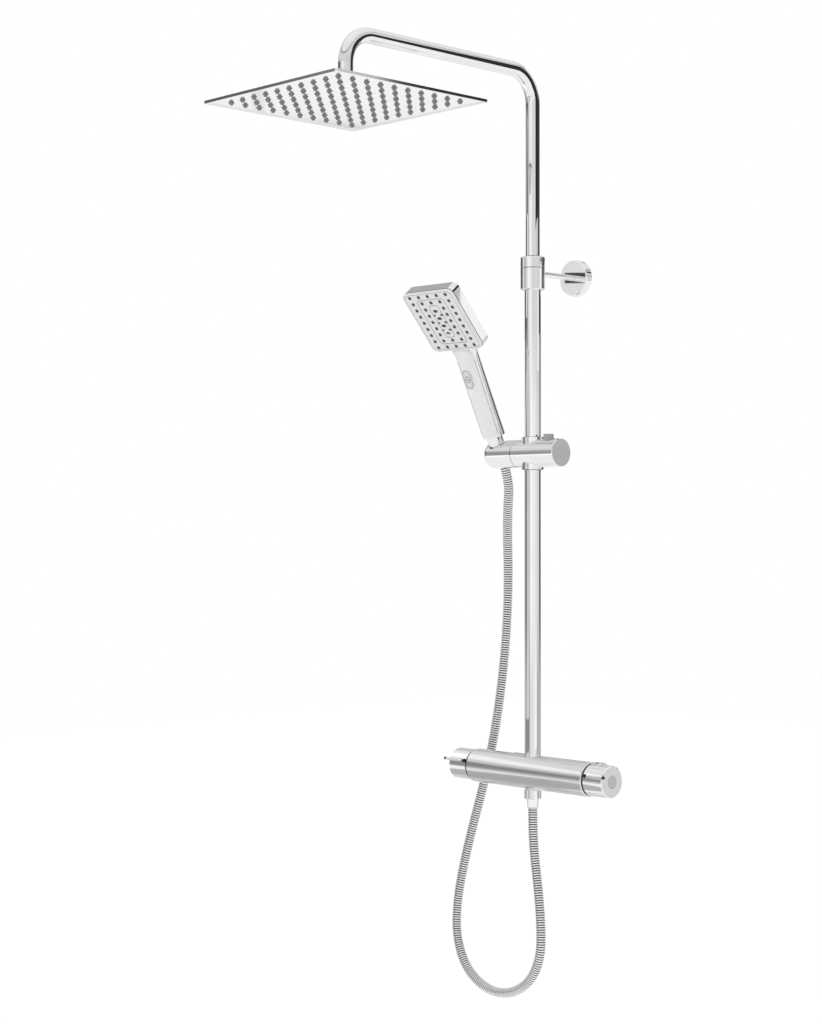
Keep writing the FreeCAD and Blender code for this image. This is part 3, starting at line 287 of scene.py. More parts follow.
def hand_axis(depth):
    """A point below the holder's pivot on the hand shower's axis."""
    return (BORE_X, RISER_Y + depth * math.sin(TILT), SLIDER_Z - depth * math.cos(TILT))


# Control points from the outlet's ferrule round the loop and up into the holder.
HOSE_ROUTE = [
    (0.0, -0.055, -0.0473), (0.0, -0.055, -0.0933), (0.009, -0.055, -0.150), (0.015, -0.055, -0.202),
    (0.015, -0.055, -0.250), (-0.007, -0.055, -0.289), (-0.048, -0.054, -0.311),
    (-0.094, -0.052, -0.311), (-0.134, -0.049, -0.289), (-0.157, -0.045, -0.250),
    (-0.162, -0.039, -0.203), (-0.157, -0.031, -0.150), (-0.146, -0.023, -0.093),
    (-0.131, -0.016, -0.033), (-0.1165, -0.0106, 0.033), (-0.1065, -0.0082, 0.092),
    (-0.101, -0.0039, 0.155), (-0.0996, 0.0, 0.214), (-0.0983, 0.0, 0.266), (-0.091, -0.0091, 0.316),
    (-0.0765, -0.0242, 0.354), hand_axis(0.042), hand_axis(0.0165)]


def nurbs_line(name, points):
    """The points that a quadratic NURBS line through these controls runs along."""
    curve = bpy.data.curves.new(name, "CURVE")
    curve.dimensions = "3D"
    curve.resolution_u = 24
    spline = curve.splines.new("NURBS")
    spline.points.add(len(points) - 1)
    for control, spot in zip(spline.points, points):
        control.co = (*spot, 1.0)
    spline.order_u = 3
    spline.use_endpoint_u = True
    holder = bpy.data.objects.new(name, curve)
    bpy.context.scene.collection.objects.link(holder)
    mesh = bpy.data.meshes.new_from_object(holder)
    line = np.zeros(len(mesh.vertices) * 3)
    mesh.vertices.foreach_get("co", line)
    bpy.data.meshes.remove(mesh)
    bpy.data.objects.remove(holder)
    bpy.data.curves.remove(curve)
    return line.reshape(-1, 3)


def ribbed_tube(name, line, around=26):
    """A ribbed metal hose.

    Along the line each rib rises from a narrow groove to a flat crest and falls again; around the
    line the section is a circle of that radius.  The attribute groove is 1 in the gaps.
    """
    length = path_length(line)
    ribs = int(round(length / RIB_PITCH))
    pitch = length / ribs
    place = np.array([0.0, 0.13, 0.20, 0.30, 0.66, 0.78, 0.87])
    radius = np.array([5.25, 5.25, 6.3, 6.5, 6.5, 6.3, 5.25]) / 1000
    gap = np.array([1.0, 1.0, 0.2, 0.0, 0.0, 0.2, 1.0])
    spots = (np.arange(ribs)[:, None] + place[None, :]).ravel() * pitch
    radii = np.tile(radius, ribs)
    gaps = np.tile(gap, ribs)
    spots = np.append(spots, length)
    radii = np.append(radii, radius[0])
    gaps = np.append(gaps, 1.0)
    centre = resample(line, spots)
    side, up = frames_along(centre)
    turn = np.linspace(0, 2 * np.pi, around, endpoint=False)
    ring = np.cos(turn)[None, :, None] * side[:, None, :] + np.sin(turn)[None, :, None] * up[:, None, :]
    verts = centre[:, None, :] + ring * radii[:, None, None]
    faces = grid_faces(len(spots), around, close_v=True)
    obj = add_mesh(name, verts.reshape(-1, 3), faces, None)
    # groove is 1 in the gaps; the hose material paints these gaps near black as shade
    groove = obj.data.attributes.new("groove", "FLOAT", "POINT")
    groove.data.foreach_set("value", np.repeat(gaps, around).astype(np.float32))
    return obj


def build_hose():
    """The whole hose as four lengths, so that each can bend across one joint of the holder."""
    line = nurbs_line("hose_line", HOSE_ROUTE)
    total = path_length(line)
    cuts = [0.0] + [total - k * TOP_LENGTH for k in (3, 2, 1, 0)]
    spans = []
    for low, high in zip(cuts, cuts[1:]):
        steps = max(24, int((high - low) / 0.0015))
        spans.append(resample(line, np.linspace(low, high, steps)))
    pairs = [("mixer", "sleeve"), ("sleeve", "slider"), ("slider", "holder"), ("holder", "hose_end")]
    made = []
    for i, (span, (a, b)) in enumerate(zip(spans, pairs)):
        tube = ribbed_tube("hose_part_%d" % (i + 1), span)
        if i == 0:
            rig.blend(tube, a, b, LOOP_START, LOOP_START + LOOP_WAY)
        else:
            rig.blend(tube, a, b, Vector(span[0]), Vector(span[-1]))
        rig.slot(tube, "hose_steel")
        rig.cord(tube, exit=list(span[0]), length=path_length(span), diameter=HOSE_DIA, far_end="object",
                stiffness="medium", lay="hanging", path=span.tolist())
        made.append(tube)
    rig.replaces(made[0], "hose")
    return made


hose_parts = build_hose()


# ------------------------------------------------------------------ small details

class Seat:
    """A flat place on a piece: a centre, its own right and up, and the way it faces."""

    def __init__(self, centre, right, up):
        self.centre = np.array(centre, float)
        self.right = np.array(right, float)
        self.up = np.array(up, float)
        self.out = np.cross(self.right, self.up)

    def at(self, across, along, rise):
        """World points for numbers or arrays of distances right, up and out."""
        across, along, rise = np.broadcast_arrays(across, along, rise)
        return (self.centre + across[..., None] * self.right + along[..., None] * self.up
                + rise[..., None] * self.out)


def leaning(angle):
    """Right and up for a face that looks forward and leans down by an angle in degrees."""
    turn = math.radians(angle)
    return (1, 0, 0), (0, -math.sin(turn), math.cos(turn))


def on_handle(forward, along):
    """A point of the hand shower, from distances in front of and along the handle's axis."""
    return (BORE_X, RISER_Y - forward * math.cos(TILT) - along * math.sin(TILT),
            SLIDER_Z - forward * math.sin(TILT) + along * math.cos(TILT))


# Pitch and height of the nozzles on the hand shower's face and under the rain head.
HAND_PITCH = (0.0170, 0.0104)
HAND_RISE = 0.0011
HEAD_PITCH = 0.0223
HEAD_RISE = 0.0032

# Where the handle starts above the slider's axis, and its length up to the neck.
HANDLE_FOOT = 0.0292
HANDLE_LENGTH = 0.1178

# The hand shower's head leans a little further than its handle; the seats follow both.
FACE_LEAN = math.radians(15.0)
FACE_FORWARD = 0.062 * math.sin(FACE_LEAN) + 0.00875 * math.cos(FACE_LEAN)
FACE_ALONG = 0.150 + 0.062 * math.cos(FACE_LEAN) - 0.00875 * math.sin(FACE_LEAN)
FACE_SEAT = Seat(on_handle(FACE_FORWARD, FACE_ALONG), *leaning(41.0))
KEY_SEAT = Seat(on_handle(0.0136, 0.118), *leaning(26.0))
HEAD_SEAT = Seat((0, HEAD_Y, HEAD_Z), (1, 0, 0), (0, 1, 0))
HANDLE_SEAT = Seat(on_handle(0.0, 0.0), *leaning(26.0))


def rounded_box_line(half_wide, half_tall, corner, steps=12):
    """A closed line: straight sides joined by quarter circles of the corner's radius."""
    turn = np.linspace(0, np.pi / 2, steps)
    points = []
    for k, (sx, sy) in enumerate(((1, 1), (-1, 1), (-1, -1), (1, -1))):
        a = turn + k * np.pi / 2
        points.append(np.stack([sx * (half_wide - corner) + corner * np.cos(a),
                                sy * (half_tall - corner) + corner * np.sin(a)], -1))
    return np.concatenate(points)


def ring_line(radius, steps=48):
    turn = np.linspace(0, 2 * np.pi, steps, endpoint=False)
    return np.stack([radius * np.cos(turn), radius * np.sin(turn)], -1)


def bead_on(seat, line, wide, rise, closed=True, sides=7, sink=0.00005):
    """A low bead along a line on a seat.

    Across the bead the height is rise times the sine of a half turn and the offset is half the
    width times its cosine, so the section is half an ellipse that starts just under the surface.
    """
    before = np.roll(line, 1, axis=0)
    after = np.roll(line, -1, axis=0)
    if not closed:
        before[0] = line[0] * 2 - line[1]
        after[-1] = line[-1] * 2 - line[-2]
    way = after - before
    way /= np.linalg.norm(way, axis=1)[:, None]
    normal = np.stack([-way[:, 1], way[:, 0]], -1)
    turn = np.linspace(0, np.pi, sides)
    offset = np.cos(turn) * wide / 2
    height = np.sin(turn) * rise - sink
    flat = line[:, None, :] + normal[:, None, :] * offset[None, :, None]
    verts = seat.at(flat[..., 0], flat[..., 1], np.broadcast_to(height, flat.shape[:2]))
    faces = grid_faces(len(line), sides, close_u=closed)
    return verts.reshape(-1, 3), [faces[:, ::-1]]


def domed_pad(seat, across, along, half_wide, half_tall, rise, power=2.0, rings=6, steps=24):
    """A raised pad on a seat.

    With r from 0 to 1 and t once round, the outline is a superellipse of the given power and the
    height is the rise times one minus r to the fourth.
    """
    r = np.linspace(0.02, 1, rings)[:, None]
    t = np.linspace(0, 2 * np.pi, steps, endpoint=False)[None, :]
    c, s = np.cos(t), np.sin(t)
    u = across + half_wide * r * np.sign(c) * np.abs(c) ** (2 / power)
    v = along + half_tall * r * np.sign(s) * np.abs(s) ** (2 / power)
    h = rise * (1 - r ** 4) + 0 * t - 0.00005
    verts = seat.at(u, v, h).reshape(-1, 3)
    sides = grid_faces(rings, steps, close_v=True)[:, ::-1]
    return verts, [sides, np.arange(steps)[None, :]]


def gather(name, pieces, body, mat_slot):
    """Several vertex and face sets as one object."""
    faces = []
    first = 0
    for points, sets in pieces:
        for rows in sets:
            faces += (rows + first).tolist()
        first += len(points)
    obj = add_mesh(name, np.concatenate([points for points, sets in pieces]), faces, body)
    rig.slot(obj, mat_slot)
    return obj


def hand_spots():
    """Spots of the spray nozzles on the hand shower's face, across and along."""
    spots = []
    for i in range(-2, 3):
        for j in range(-4, 5):
            if i != 0 or abs(j) > 2:
                spots.append((i * HAND_PITCH[0], j * HAND_PITCH[1]))
    return spots


def build_head_seam():
    """The dark joint line between the hand shower's front and shell.

    A rounded box outline just proud of the head's side, carried a short way along the head's depth.
    """
    line = rounded_box_line(0.04706, 0.04856, 0.00906)
    rows = [FACE_SEAT.at(line[:, 0], line[:, 1], rise) for rise in (-0.0028, -0.0038)]
    faces = grid_faces(2, len(line), close_v=True)
    obj = add_mesh("head_seam", np.concatenate(rows), faces, "hand_shower")
    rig.slot(obj, "rubber_dark")
    return obj


def handle_strip(name, turn, half_turn):
    """A thin strip that runs up the handle at one place round its oval.

    Half the oval's width goes from 17.5 mm to 18.5 mm and half its depth from 13.5 mm to 12 mm.
    Across the strip the surface is a low half sine, 0.15 mm proud in the middle.
    """
    rows = 40
    columns = 7
    up = np.linspace(0.034, 0.142, rows)[:, None]
    share = (up - HANDLE_FOOT) / HANDLE_LENGTH
    share = share * 0.4 + share ** 2 * 0.6
    step = np.linspace(-1, 1, columns)[None, :]
    turn = np.radians(turn + step * half_turn)
    proud = 0.0002 * np.cos(step * np.pi / 2) - 0.00005
    half_wide = 0.0175 + 0.001 * share + proud
    half_deep = 0.0135 - 0.0015 * share + proud
    verts = HANDLE_SEAT.at(half_wide * np.cos(turn), up + 0 * turn, half_deep * np.sin(turn))
    faces = grid_faces(rows, columns)
    return add_mesh(name, verts.reshape(-1, 3), faces, "hand_shower")


def build_face_details():
    """Fine ridges, spray holes and the massage jets on the hand shower's face."""
    ridges = [bead_on(FACE_SEAT, rounded_box_line(0.0255, 0.0363, 0.006), 0.0009, 0.00025),
              bead_on(FACE_SEAT, rounded_box_line(0.0088, 0.0262, 0.004), 0.0009, 0.00025),
              bead_on(FACE_SEAT, rounded_box_line(0.0442, 0.0457, 0.0072), 0.0006, 0.00018)]
    made = {"ridges": gather("face_ridges", ridges, "hand_shower", "handset_grey")}
    holes = [domed_pad(FACE_SEAT, u, v, 0.0011, 0.0011, HAND_RISE + 0.00012, 2, 3, 12)
             for u, v in hand_spots()]
    made["holes"] = gather("spray_holes", holes, "hand_shower", "rubber_dark")
    collars = [domed_pad(FACE_SEAT, u, v, 0.0030, 0.0030, 0.0005, 2, 3, 16)
               for u, v in hand_spots()]
    made["collars"] = gather("nozzle_collars", collars, "hand_shower", "rubber_grey")
    made["seam"] = build_head_seam()
    made["edge"] = handle_strip("handle_edge", 141.0, 19.0)
    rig.slot(made["edge"], "handset_chrome")
    made["line"] = handle_strip("handle_joint", 27.0, 1.0)
    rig.slot(made["line"], "rubber_dark")
    dark = [domed_pad(FACE_SEAT, -0.001, v, 0.0041, 0.0023, 0.0006, 3.5)
            for v in (0.0172, 0.005, -0.0073)]
    made["jets"] = gather("massage_jets", dark, "hand_shower", "rubber_dark")
    pale = [domed_pad(FACE_SEAT, -0.001, -0.0196, 0.0037, 0.0020, 0.0006, 3.5)]
    for v in (0.0106, -0.0018, -0.0142):
        pale.append(domed_pad(FACE_SEAT, 0.0066, v, 0.0031, 0.0019, 0.0006, 3.5))
        pale.append(domed_pad(FACE_SEAT, -0.0068, v, 0.0024, 0.0016, 0.0006, 3.0))
    made["pale"] = gather("side_jets", pale, "hand_shower", "rubber_grey")
    return made


def build_key_mark():
    """A ring with three falling drops on the mode key."""
    marks = [bead_on(KEY_SEAT, ring_line(0.0043), 0.0010, 0.0002)]
    drops = ((-0.0016, -0.0012, 0.0009), (0.0, -0.0020, 0.0014), (0.0016, -0.0012, 0.0009))
    for across, low, high in drops:
        stroke = np.stack([np.full(6, across), np.linspace(low, high, 6)], -1)
        marks.append(bead_on(KEY_SEAT, stroke, 0.0010, 0.0002, closed=False))
    rim = rounded_box_line(0.0066, 0.0125, 0.0062)
    marks.append(bead_on(KEY_SEAT, rim, 0.0009, 0.00015))
    return gather("key_mark", marks, "mode_key", "button_grey")


def build_head_holes():
    """The dark mouths of the rain nozzles."""
    steps = (np.arange(10) - 4.5) * HEAD_PITCH
    under = Seat(HEAD_SEAT.centre, (1, 0, 0), (0, -1, 0))
    holes = [domed_pad(under, u, v, 0.0012, 0.0012, HEAD_RISE + 0.00012, 2, 3, 10)
             for u in steps for v in steps]
    return gather("rain_mouths", holes, "rain_head", "rubber_dark")


def build_knob_marks():
    """One small dark dot on each knob's end cap."""
    made = []
    for body, side in (("flow_handle", -1), ("temperature_handle", 1)):
        seat = Seat((side * DISC_X, RISER_Y, 0.0), (0, side, 0), (0, 0, 1))
        dot = [domed_pad(seat, 0.0, -0.0064, 0.0009, 0.0009, 0.00016, 2, 4, 20)]
        made.append(gather(body + "_dot", dot, body, "rubber_dark"))
    return made


def build_split_shade():
    """Painted shade in the groove between the bracket's two rings: a dark band, a circle swept up a short height."""
    around = 96
    turn = np.linspace(0, 2 * np.pi, around, endpoint=False)
    rows = []
    section = ((-0.0003, 0.0162), (-0.00012, 0.01642), (0.00012, 0.01642), (0.0003, 0.0162))
    for height, radius in section:
        rows.append(np.stack([radius * np.cos(turn), RISER_Y + radius * np.sin(turn),
                              np.full(around, SPLIT_Z + height)], -1))
    faces = grid_faces(len(section), around, close_v=True)
    obj = add_mesh("bracket_split_shade", np.concatenate(rows), faces[:, ::-1], "mixer")
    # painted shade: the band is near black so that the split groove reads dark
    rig.slot(obj, "rubber_dark")
    return obj


face_details = build_face_details()
split_shade = build_split_shade()
key_mark = build_key_mark()
head_holes = build_head_holes()
knob_dots = build_knob_marks()


# ------------------------------------------------------------------ material tools

def math_node(tree, kind, *values):
    node = tree.nodes.new("ShaderNodeMath")
    node.operation = kind
    for socket, value in zip(node.inputs, values):
        if isinstance(value, (int, float)):
            socket.default_value = value
        else:
            tree.links.new(value, socket)
    return node.outputs[0]


def grey_ramp(tree, value, stops):
    ramp = tree.nodes.new("ShaderNodeValToRGB")
    band = ramp.color_ramp
    while len(band.elements) < len(stops):
        band.elements.new(0.5)
    for element, (place, grey) in zip(band.elements, stops):
        element.position = place
        element.color = (grey, grey, grey, 1.0)
    tree.links.new(value, ramp.inputs["Fac"])
    return ramp.outputs["Color"]


class Look:
    """A node material with a few shorthands for procedural inputs."""

    def __init__(self, name, metallic, roughness):
        self.mat = bpy.data.materials.new(name)
        self.mat.use_nodes = True
        self.tree = self.mat.node_tree
        self.shader = self.tree.nodes["Principled BSDF"]
        self.shader.inputs["Metallic"].default_value = metallic
        self.shader.inputs["Roughness"].default_value = roughness
        self.coord = self.tree.nodes.new("ShaderNodeTexCoord")

    def link(self, source, target):
        self.tree.links.new(source, target)
        return target

    def noise(self, scale, stretch=(1, 1, 1), detail=3.0, rough=0.5):
        """Noise in the object's own space, stretched along the axes."""
        mapping = self.tree.nodes.new("ShaderNodeMapping")
        mapping.inputs["Scale"].default_value = stretch
        self.link(self.coord.outputs["Object"], mapping.inputs["Vector"])
        texture = self.tree.nodes.new("ShaderNodeTexNoise")
        texture.inputs["Scale"].default_value = scale
        texture.inputs["Detail"].default_value = detail
        texture.inputs["Roughness"].default_value = rough
        self.link(mapping.outputs["Vector"], texture.inputs["Vector"])
        return texture.outputs["Fac"]

    def ramp(self, value, stops):
        """A colour ramp with (place, grey or colour) stops."""
        ramp = self.tree.nodes.new("ShaderNodeValToRGB")
        band = ramp.color_ramp
        while len(band.elements) < len(stops):
            band.elements.new(0.5)
        for element, (place, colour) in zip(band.elements, stops):
            if not isinstance(colour, tuple):
                colour = (colour, colour, colour)
            element.position = place
            element.color = (*colour, 1.0)
        self.link(value, ramp.inputs["Fac"])
        return ramp.outputs["Color"]

    def span(self, value, low, high):
        """A 0 to 1 value mapped to a number range."""
        node = self.tree.nodes.new("ShaderNodeMapRange")
        node.inputs["To Min"].default_value = low
        node.inputs["To Max"].default_value = high
        self.link(value, node.inputs["Value"])
        return node.outputs["Result"]

    def mix(self, factor, one, two):
        node = self.tree.nodes.new("ShaderNodeMix")
        node.data_type = "RGBA"
        for socket, value in (("A", one), ("B", two)):
            target = [s for s in node.inputs if s.name == socket and s.type == "RGBA"][0]
            if isinstance(value, tuple):
                target.default_value = (*value, 1.0)
            else:
                self.link(value, target)
        self.link(factor, [s for s in node.inputs if s.name == "Factor" and s.type == "VALUE"][0])
        return [s for s in node.outputs if s.type == "RGBA"][0]

    def attribute(self, name):
        node = self.tree.nodes.new("ShaderNodeAttribute")
        node.attribute_name = name
        return node.outputs["Fac"]

    def colour(self, source):
        self.link(source, self.shader.inputs["Base Color"])

    def rough(self, source):
        self.link(source, self.shader.inputs["Roughness"])

    def bump(self, source, strength, distance):
        node = self.tree.nodes.new("ShaderNodeBump")
        node.inputs["Strength"].default_value = strength
        node.inputs["Distance"].default_value = distance
        self.link(source, node.inputs["Height"])
        self.link(node.outputs["Normal"], self.shader.inputs["Normal"])


def chrome_look():
    """Mirror chrome with faint polishing marks and water haze."""
    look = Look("mirror_chrome", 1.0, 0.05)
    haze = look.noise(14.0, detail=4.0)
    look.colour(look.ramp(haze, [(0.3, (0.86, 0.868, 0.876)), (0.7, (0.905, 0.91, 0.915))]))
    look.rough(look.span(look.noise(60.0, (1, 1, 0.2)), 0.025, 0.075))
    return look.mat


def satin_look():
    """Satin chrome, brushed along the mixer bar."""
    look = Look("satin_chrome", 1.0, 0.2)
    grain = look.noise(900.0, (0.03, 1, 1), detail=2.0)
    look.colour(look.ramp(grain, [(0.25, (0.74, 0.745, 0.75)), (0.75, (0.8, 0.805, 0.81))]))
    look.rough(look.span(grain, 0.15, 0.22))
    return look.mat


def cap_look():
    """The slider's flat end cap: fine turned satin."""
    look = Look("satin_cap", 1.0, 0.42)
    grain = look.noise(500.0, (0.05, 1, 1), detail=2.0)
    look.colour(look.ramp(grain, [(0.3, (0.65, 0.65, 0.655)), (0.7, (0.71, 0.71, 0.715))]))
    look.rough(look.span(grain, 0.38, 0.5))
    return look.mat


def stainless_look():
    """The rain head's plate, finely brushed across its width."""
    look = Look("brushed_stainless", 1.0, 0.12)
    grain = look.noise(700.0, (0.02, 1, 1), detail=3.0)
    cloud = look.noise(5.0, detail=2.0)
    base = look.mix(cloud, (0.9, 0.905, 0.91), (0.95, 0.955, 0.96))
    look.colour(look.mix(grain, base, (0.93, 0.935, 0.94)))
    look.rough(look.span(grain, 0.09, 0.16))
    return look.mat


def plain_look(name, low, high, roughness, scale=400.0, metallic=0.0, bump=0.0):
    """Moulded plastic, rubber or plain metal: two near colours in fine grain."""
    look = Look(name, metallic, roughness)
    grain = look.noise(scale)
    look.colour(look.ramp(grain, [(0.3, low), (0.7, high)]))
    look.rough(look.span(grain, roughness - 0.04, roughness + 0.06))
    if bump:
        look.bump(grain, bump, 0.0002)
    return look.mat


def hose_look():
    """Ribbed strip steel: polished crests, and grooves painted near black as shade."""
    look = Look("hose_metal", 1.0, 0.16)
    groove = look.attribute("groove")
    tone = look.noise(90.0)
    crest = look.ramp(tone, [(0.3, (0.88, 0.885, 0.89)), (0.7, (0.94, 0.945, 0.95))])
    # painted shade: the grooves between the ribs are coloured near black
    look.colour(look.mix(groove, crest, (0.012, 0.012, 0.013)))
    look.rough(look.span(groove, 0.14, 0.5))
    return look.mat


def disc_look():
    """The knobs' end discs: turned satin in fine rings about the knob's own axis."""
    look = Look("turned_disc", 1.0, 0.32)
    split = look.tree.nodes.new("ShaderNodeSeparateXYZ")
    look.link(look.coord.outputs["Object"], split.inputs[0])
    off = math_node(look.tree, "ADD", split.outputs[1], -RISER_Y)
    square = math_node(look.tree, "ADD", math_node(look.tree, "MULTIPLY", off, off),
                       math_node(look.tree, "MULTIPLY", split.outputs[2], split.outputs[2]))
    radius = math_node(look.tree, "SQRT", square)
    rings = math_node(look.tree, "SINE", math_node(look.tree, "MULTIPLY", radius, 9000.0))
    share = look.span(rings, 0.3, 0.7)
    look.colour(look.mix(share, (0.62, 0.62, 0.625), (0.7, 0.7, 0.705)))
    look.rough(look.span(share, 0.26, 0.36))
    return look.mat


CHROME = chrome_look()
DISC = disc_look()
SATIN = satin_look()
CAP = cap_look()
STAINLESS = stainless_look()
HOSE = hose_look()
SILICONE = plain_look("grey_silicone", (0.24, 0.24, 0.245), (0.3, 0.3, 0.305), 0.5, 900.0, bump=0.3)
DARK_RUBBER = plain_look("dark_silicone", (0.045, 0.045, 0.05), (0.075, 0.075, 0.08), 0.6, 900.0,
                         bump=0.3)
# black plastic; the same material also paints the shade in the bracket's split groove
BLACK_AND_SHADE = plain_look("black_plastic", (0.012, 0.012, 0.013), (0.03, 0.03, 0.032), 0.45, 700.0)
NYLON = plain_look("grey_nylon", (0.05, 0.05, 0.055), (0.09, 0.09, 0.095), 0.5, 500.0)
BRASS = plain_look("turned_brass", (0.6, 0.44, 0.2), (0.7, 0.53, 0.27), 0.3, 300.0, metallic=1.0)
STEEL = plain_look("plain_steel", (0.4, 0.4, 0.41), (0.5, 0.5, 0.51), 0.35, 400.0, metallic=1.0)
BUTTON = plain_look("grey_button", (0.3, 0.3, 0.305), (0.36, 0.36, 0.365), 0.35, 500.0)
PLATE = plain_look("handset_grey", (0.77, 0.775, 0.78), (0.79, 0.795, 0.8), 0.25, 40.0)


def dress(mat, pieces):
    for piece in pieces:
        piece.data.materials.clear()
        piece.data.materials.append(mat)


# How far from the middle the black bead on each grip pin ends.
BEAD_X = 0.115


def pin_look():
    """Chrome grip pins whose bead at the body end is black."""
    look = Look("grip_pin", 1.0, 0.06)
    split = look.tree.nodes.new("ShaderNodeSeparateXYZ")
    look.link(look.coord.outputs["Object"], split.inputs[0])
    away = look.tree.nodes.new("ShaderNodeMath")
    away.operation = "ABSOLUTE"
    look.link(split.outputs[0], away.inputs[0])
    place = look.tree.nodes.new("ShaderNodeMapRange")
    place.inputs["From Min"].default_value = BEAD_X - 0.0005
    place.inputs["From Max"].default_value = BEAD_X + 0.0005
    look.link(away.outputs[0], place.inputs["Value"])
    haze = look.ramp(look.noise(40.0), [(0.3, (0.86, 0.868, 0.876)), (0.7, (0.905, 0.91, 0.915))])
    look.colour(look.mix(place.outputs["Result"], (0.03, 0.03, 0.032), haze))
    look.rough(look.span(place.outputs["Result"], 0.3, 0.05))
    return look.mat


PIN = pin_look()
MARK = plain_look("fine_ridge", (0.2, 0.2, 0.205), (0.25, 0.25, 0.255), 0.3, 300.0)
JET = plain_look("pale_jet", (0.13, 0.13, 0.135), (0.17, 0.17, 0.175), 0.45, 400.0)
KEY = plain_look("grey_key", (0.64, 0.64, 0.645), (0.69, 0.69, 0.695), 0.3, 300.0)


CHROMED = ["inlet_union_nuts", "hose_outlet_nut", "hose_outlet_ferrule", "lower_tube", "bracket_collar",
           "lock_ring", "bracket_rod", "wall_rosette", "upper_tube", "flow_knob", "temperature_knob",
           "slider_barrel", "cradle", "rain_head_socket_nut", "hose_cone_nut", "safety_button",
           "handset_shell", "outlet_nipple", "ball_stud"]
CAD_LOOKS = [
    (CHROME, CHROMED),
    (PIN, ["flow_grip_pin", "temperature_grip_pin"]),
    (SATIN, ["mixer_body"]),
    (CAP, ["slider_end_cap"]),
    (DISC, ["flow_end_cap", "temperature_end_cap"]),
    (STAINLESS, ["rain_head_face", "rain_head_cover"]),
    (BRASS, ["flow_cartridge", "thermostat_cartridge", "riser_nipple", "tube_end_plug", "flow_spindle",
             "temperature_spindle"]),
    (STEEL, ["grub_screw", "wall_plate", "cradle_axle"]),
    (PLATE, ["handset_face"]),
    (KEY, ["mode_button"]),
    (BUTTON, ["release_button"]),
    (SILICONE, ["rain_nozzle_mat"]),
    (DARK_RUBBER, ["handset_nozzle_mat", "outlet_washer", "inlet_filters"]),
    (BLACK_AND_SHADE, ["flow_stop_ring", "temperature_stop_ring", "flow_grip_tip", "temperature_grip_tip"]),
    (NYLON, ["guide_bush", "slider_bush", "lift_bush", "friction_washer", "ball_seat_upper",
             "ball_seat_lower", "inlet_check_valves", "handset_water_pipe"]),
]
PIECE_LOOKS = [
    (HOSE, hose_parts),
    (MARK, [face_details["ridges"], key_mark]),
    (JET, [face_details["collars"], face_details["pale"]]),
    (CHROME, [face_details["edge"]]),
    # the bracket's split band in this list is painted shade
    (BLACK_AND_SHADE, [face_details["holes"], face_details["line"], face_details["seam"], split_shade]),
    (DARK_RUBBER, [face_details["jets"], head_holes] + knob_dots),
]


def dress_all():
    for mat, names in CAD_LOOKS:
        dress(mat, [nodes[name] for name in names])
    for mat, pieces in PIECE_LOOKS:
        dress(mat, pieces)


dress_all()


# ------------------------------------------------------------------ surroundings

# Greys round the horizon, by turn in degrees: above, at and below eye level.
RING_HIGH = [(-180, 0.1), (-167, 0.1), (-150, 0.3), (-120, 0.3), (-90, 0.12), (-70, 0.06), (-50, 0.07),
             (-44, 0.4), (-33, 0.52), (-12, 0.82), (5, 1.05), (23, 0.92), (40, 0.74), (73, 0.74),
             (91, 0.75), (109, 0.66), (130, 0.6), (141, 0.5), (148, 0.08), (170, 0.05), (180, 0.1)]
RING_MID = [(-180, 0.15), (-168, 0.36), (-150, 0.5), (-120, 0.4), (-90, 0.25), (-60, 0.25), (-42, 0.3),
            (-37, 0.85), (-26, 0.85), (-20, 0.5), (-8, 0.55), (4, 0.8), (14, 1.1), (28, 1.0), (61, 0.92),
            (91, 0.88), (107, 0.74), (124, 0.76), (146, 0.72), (153, 0.12), (172, 0.06), (180, 0.15)]
RING_LOW = [(-180, 0.5), (-150, 0.6), (-120, 0.55), (-90, 0.45), (-60, 0.6), (-50, 0.4), (-44, 0.45),
            (-36, 0.88), (-24, 0.85), (-16, 0.42), (-8, 0.45), (4, 0.7), (17, 0.88), (32, 0.78),
            (61, 0.9), (80, 1.0), (95, 1.08), (108, 0.6), (118, 0.24), (124, 0.5), (140, 0.72),
            (158, 0.42), (180, 0.45)]


def around_ring(tree, place, ring):
    return grey_ramp(tree, place, [((turn + 180.0) / 360.0, grey) for turn, grey in ring])


def blend_greys(tree, share, one, two):
    mix = tree.nodes.new("ShaderNodeMix")
    mix.data_type = "RGBA"
    sockets = [s for s in mix.inputs if s.type == "RGBA"]
    tree.links.new(share, [s for s in mix.inputs if s.type == "VALUE"][0])
    tree.links.new(one, sockets[0])
    tree.links.new(two, sockets[1])
    return [s for s in mix.outputs if s.type == "RGBA"][0]


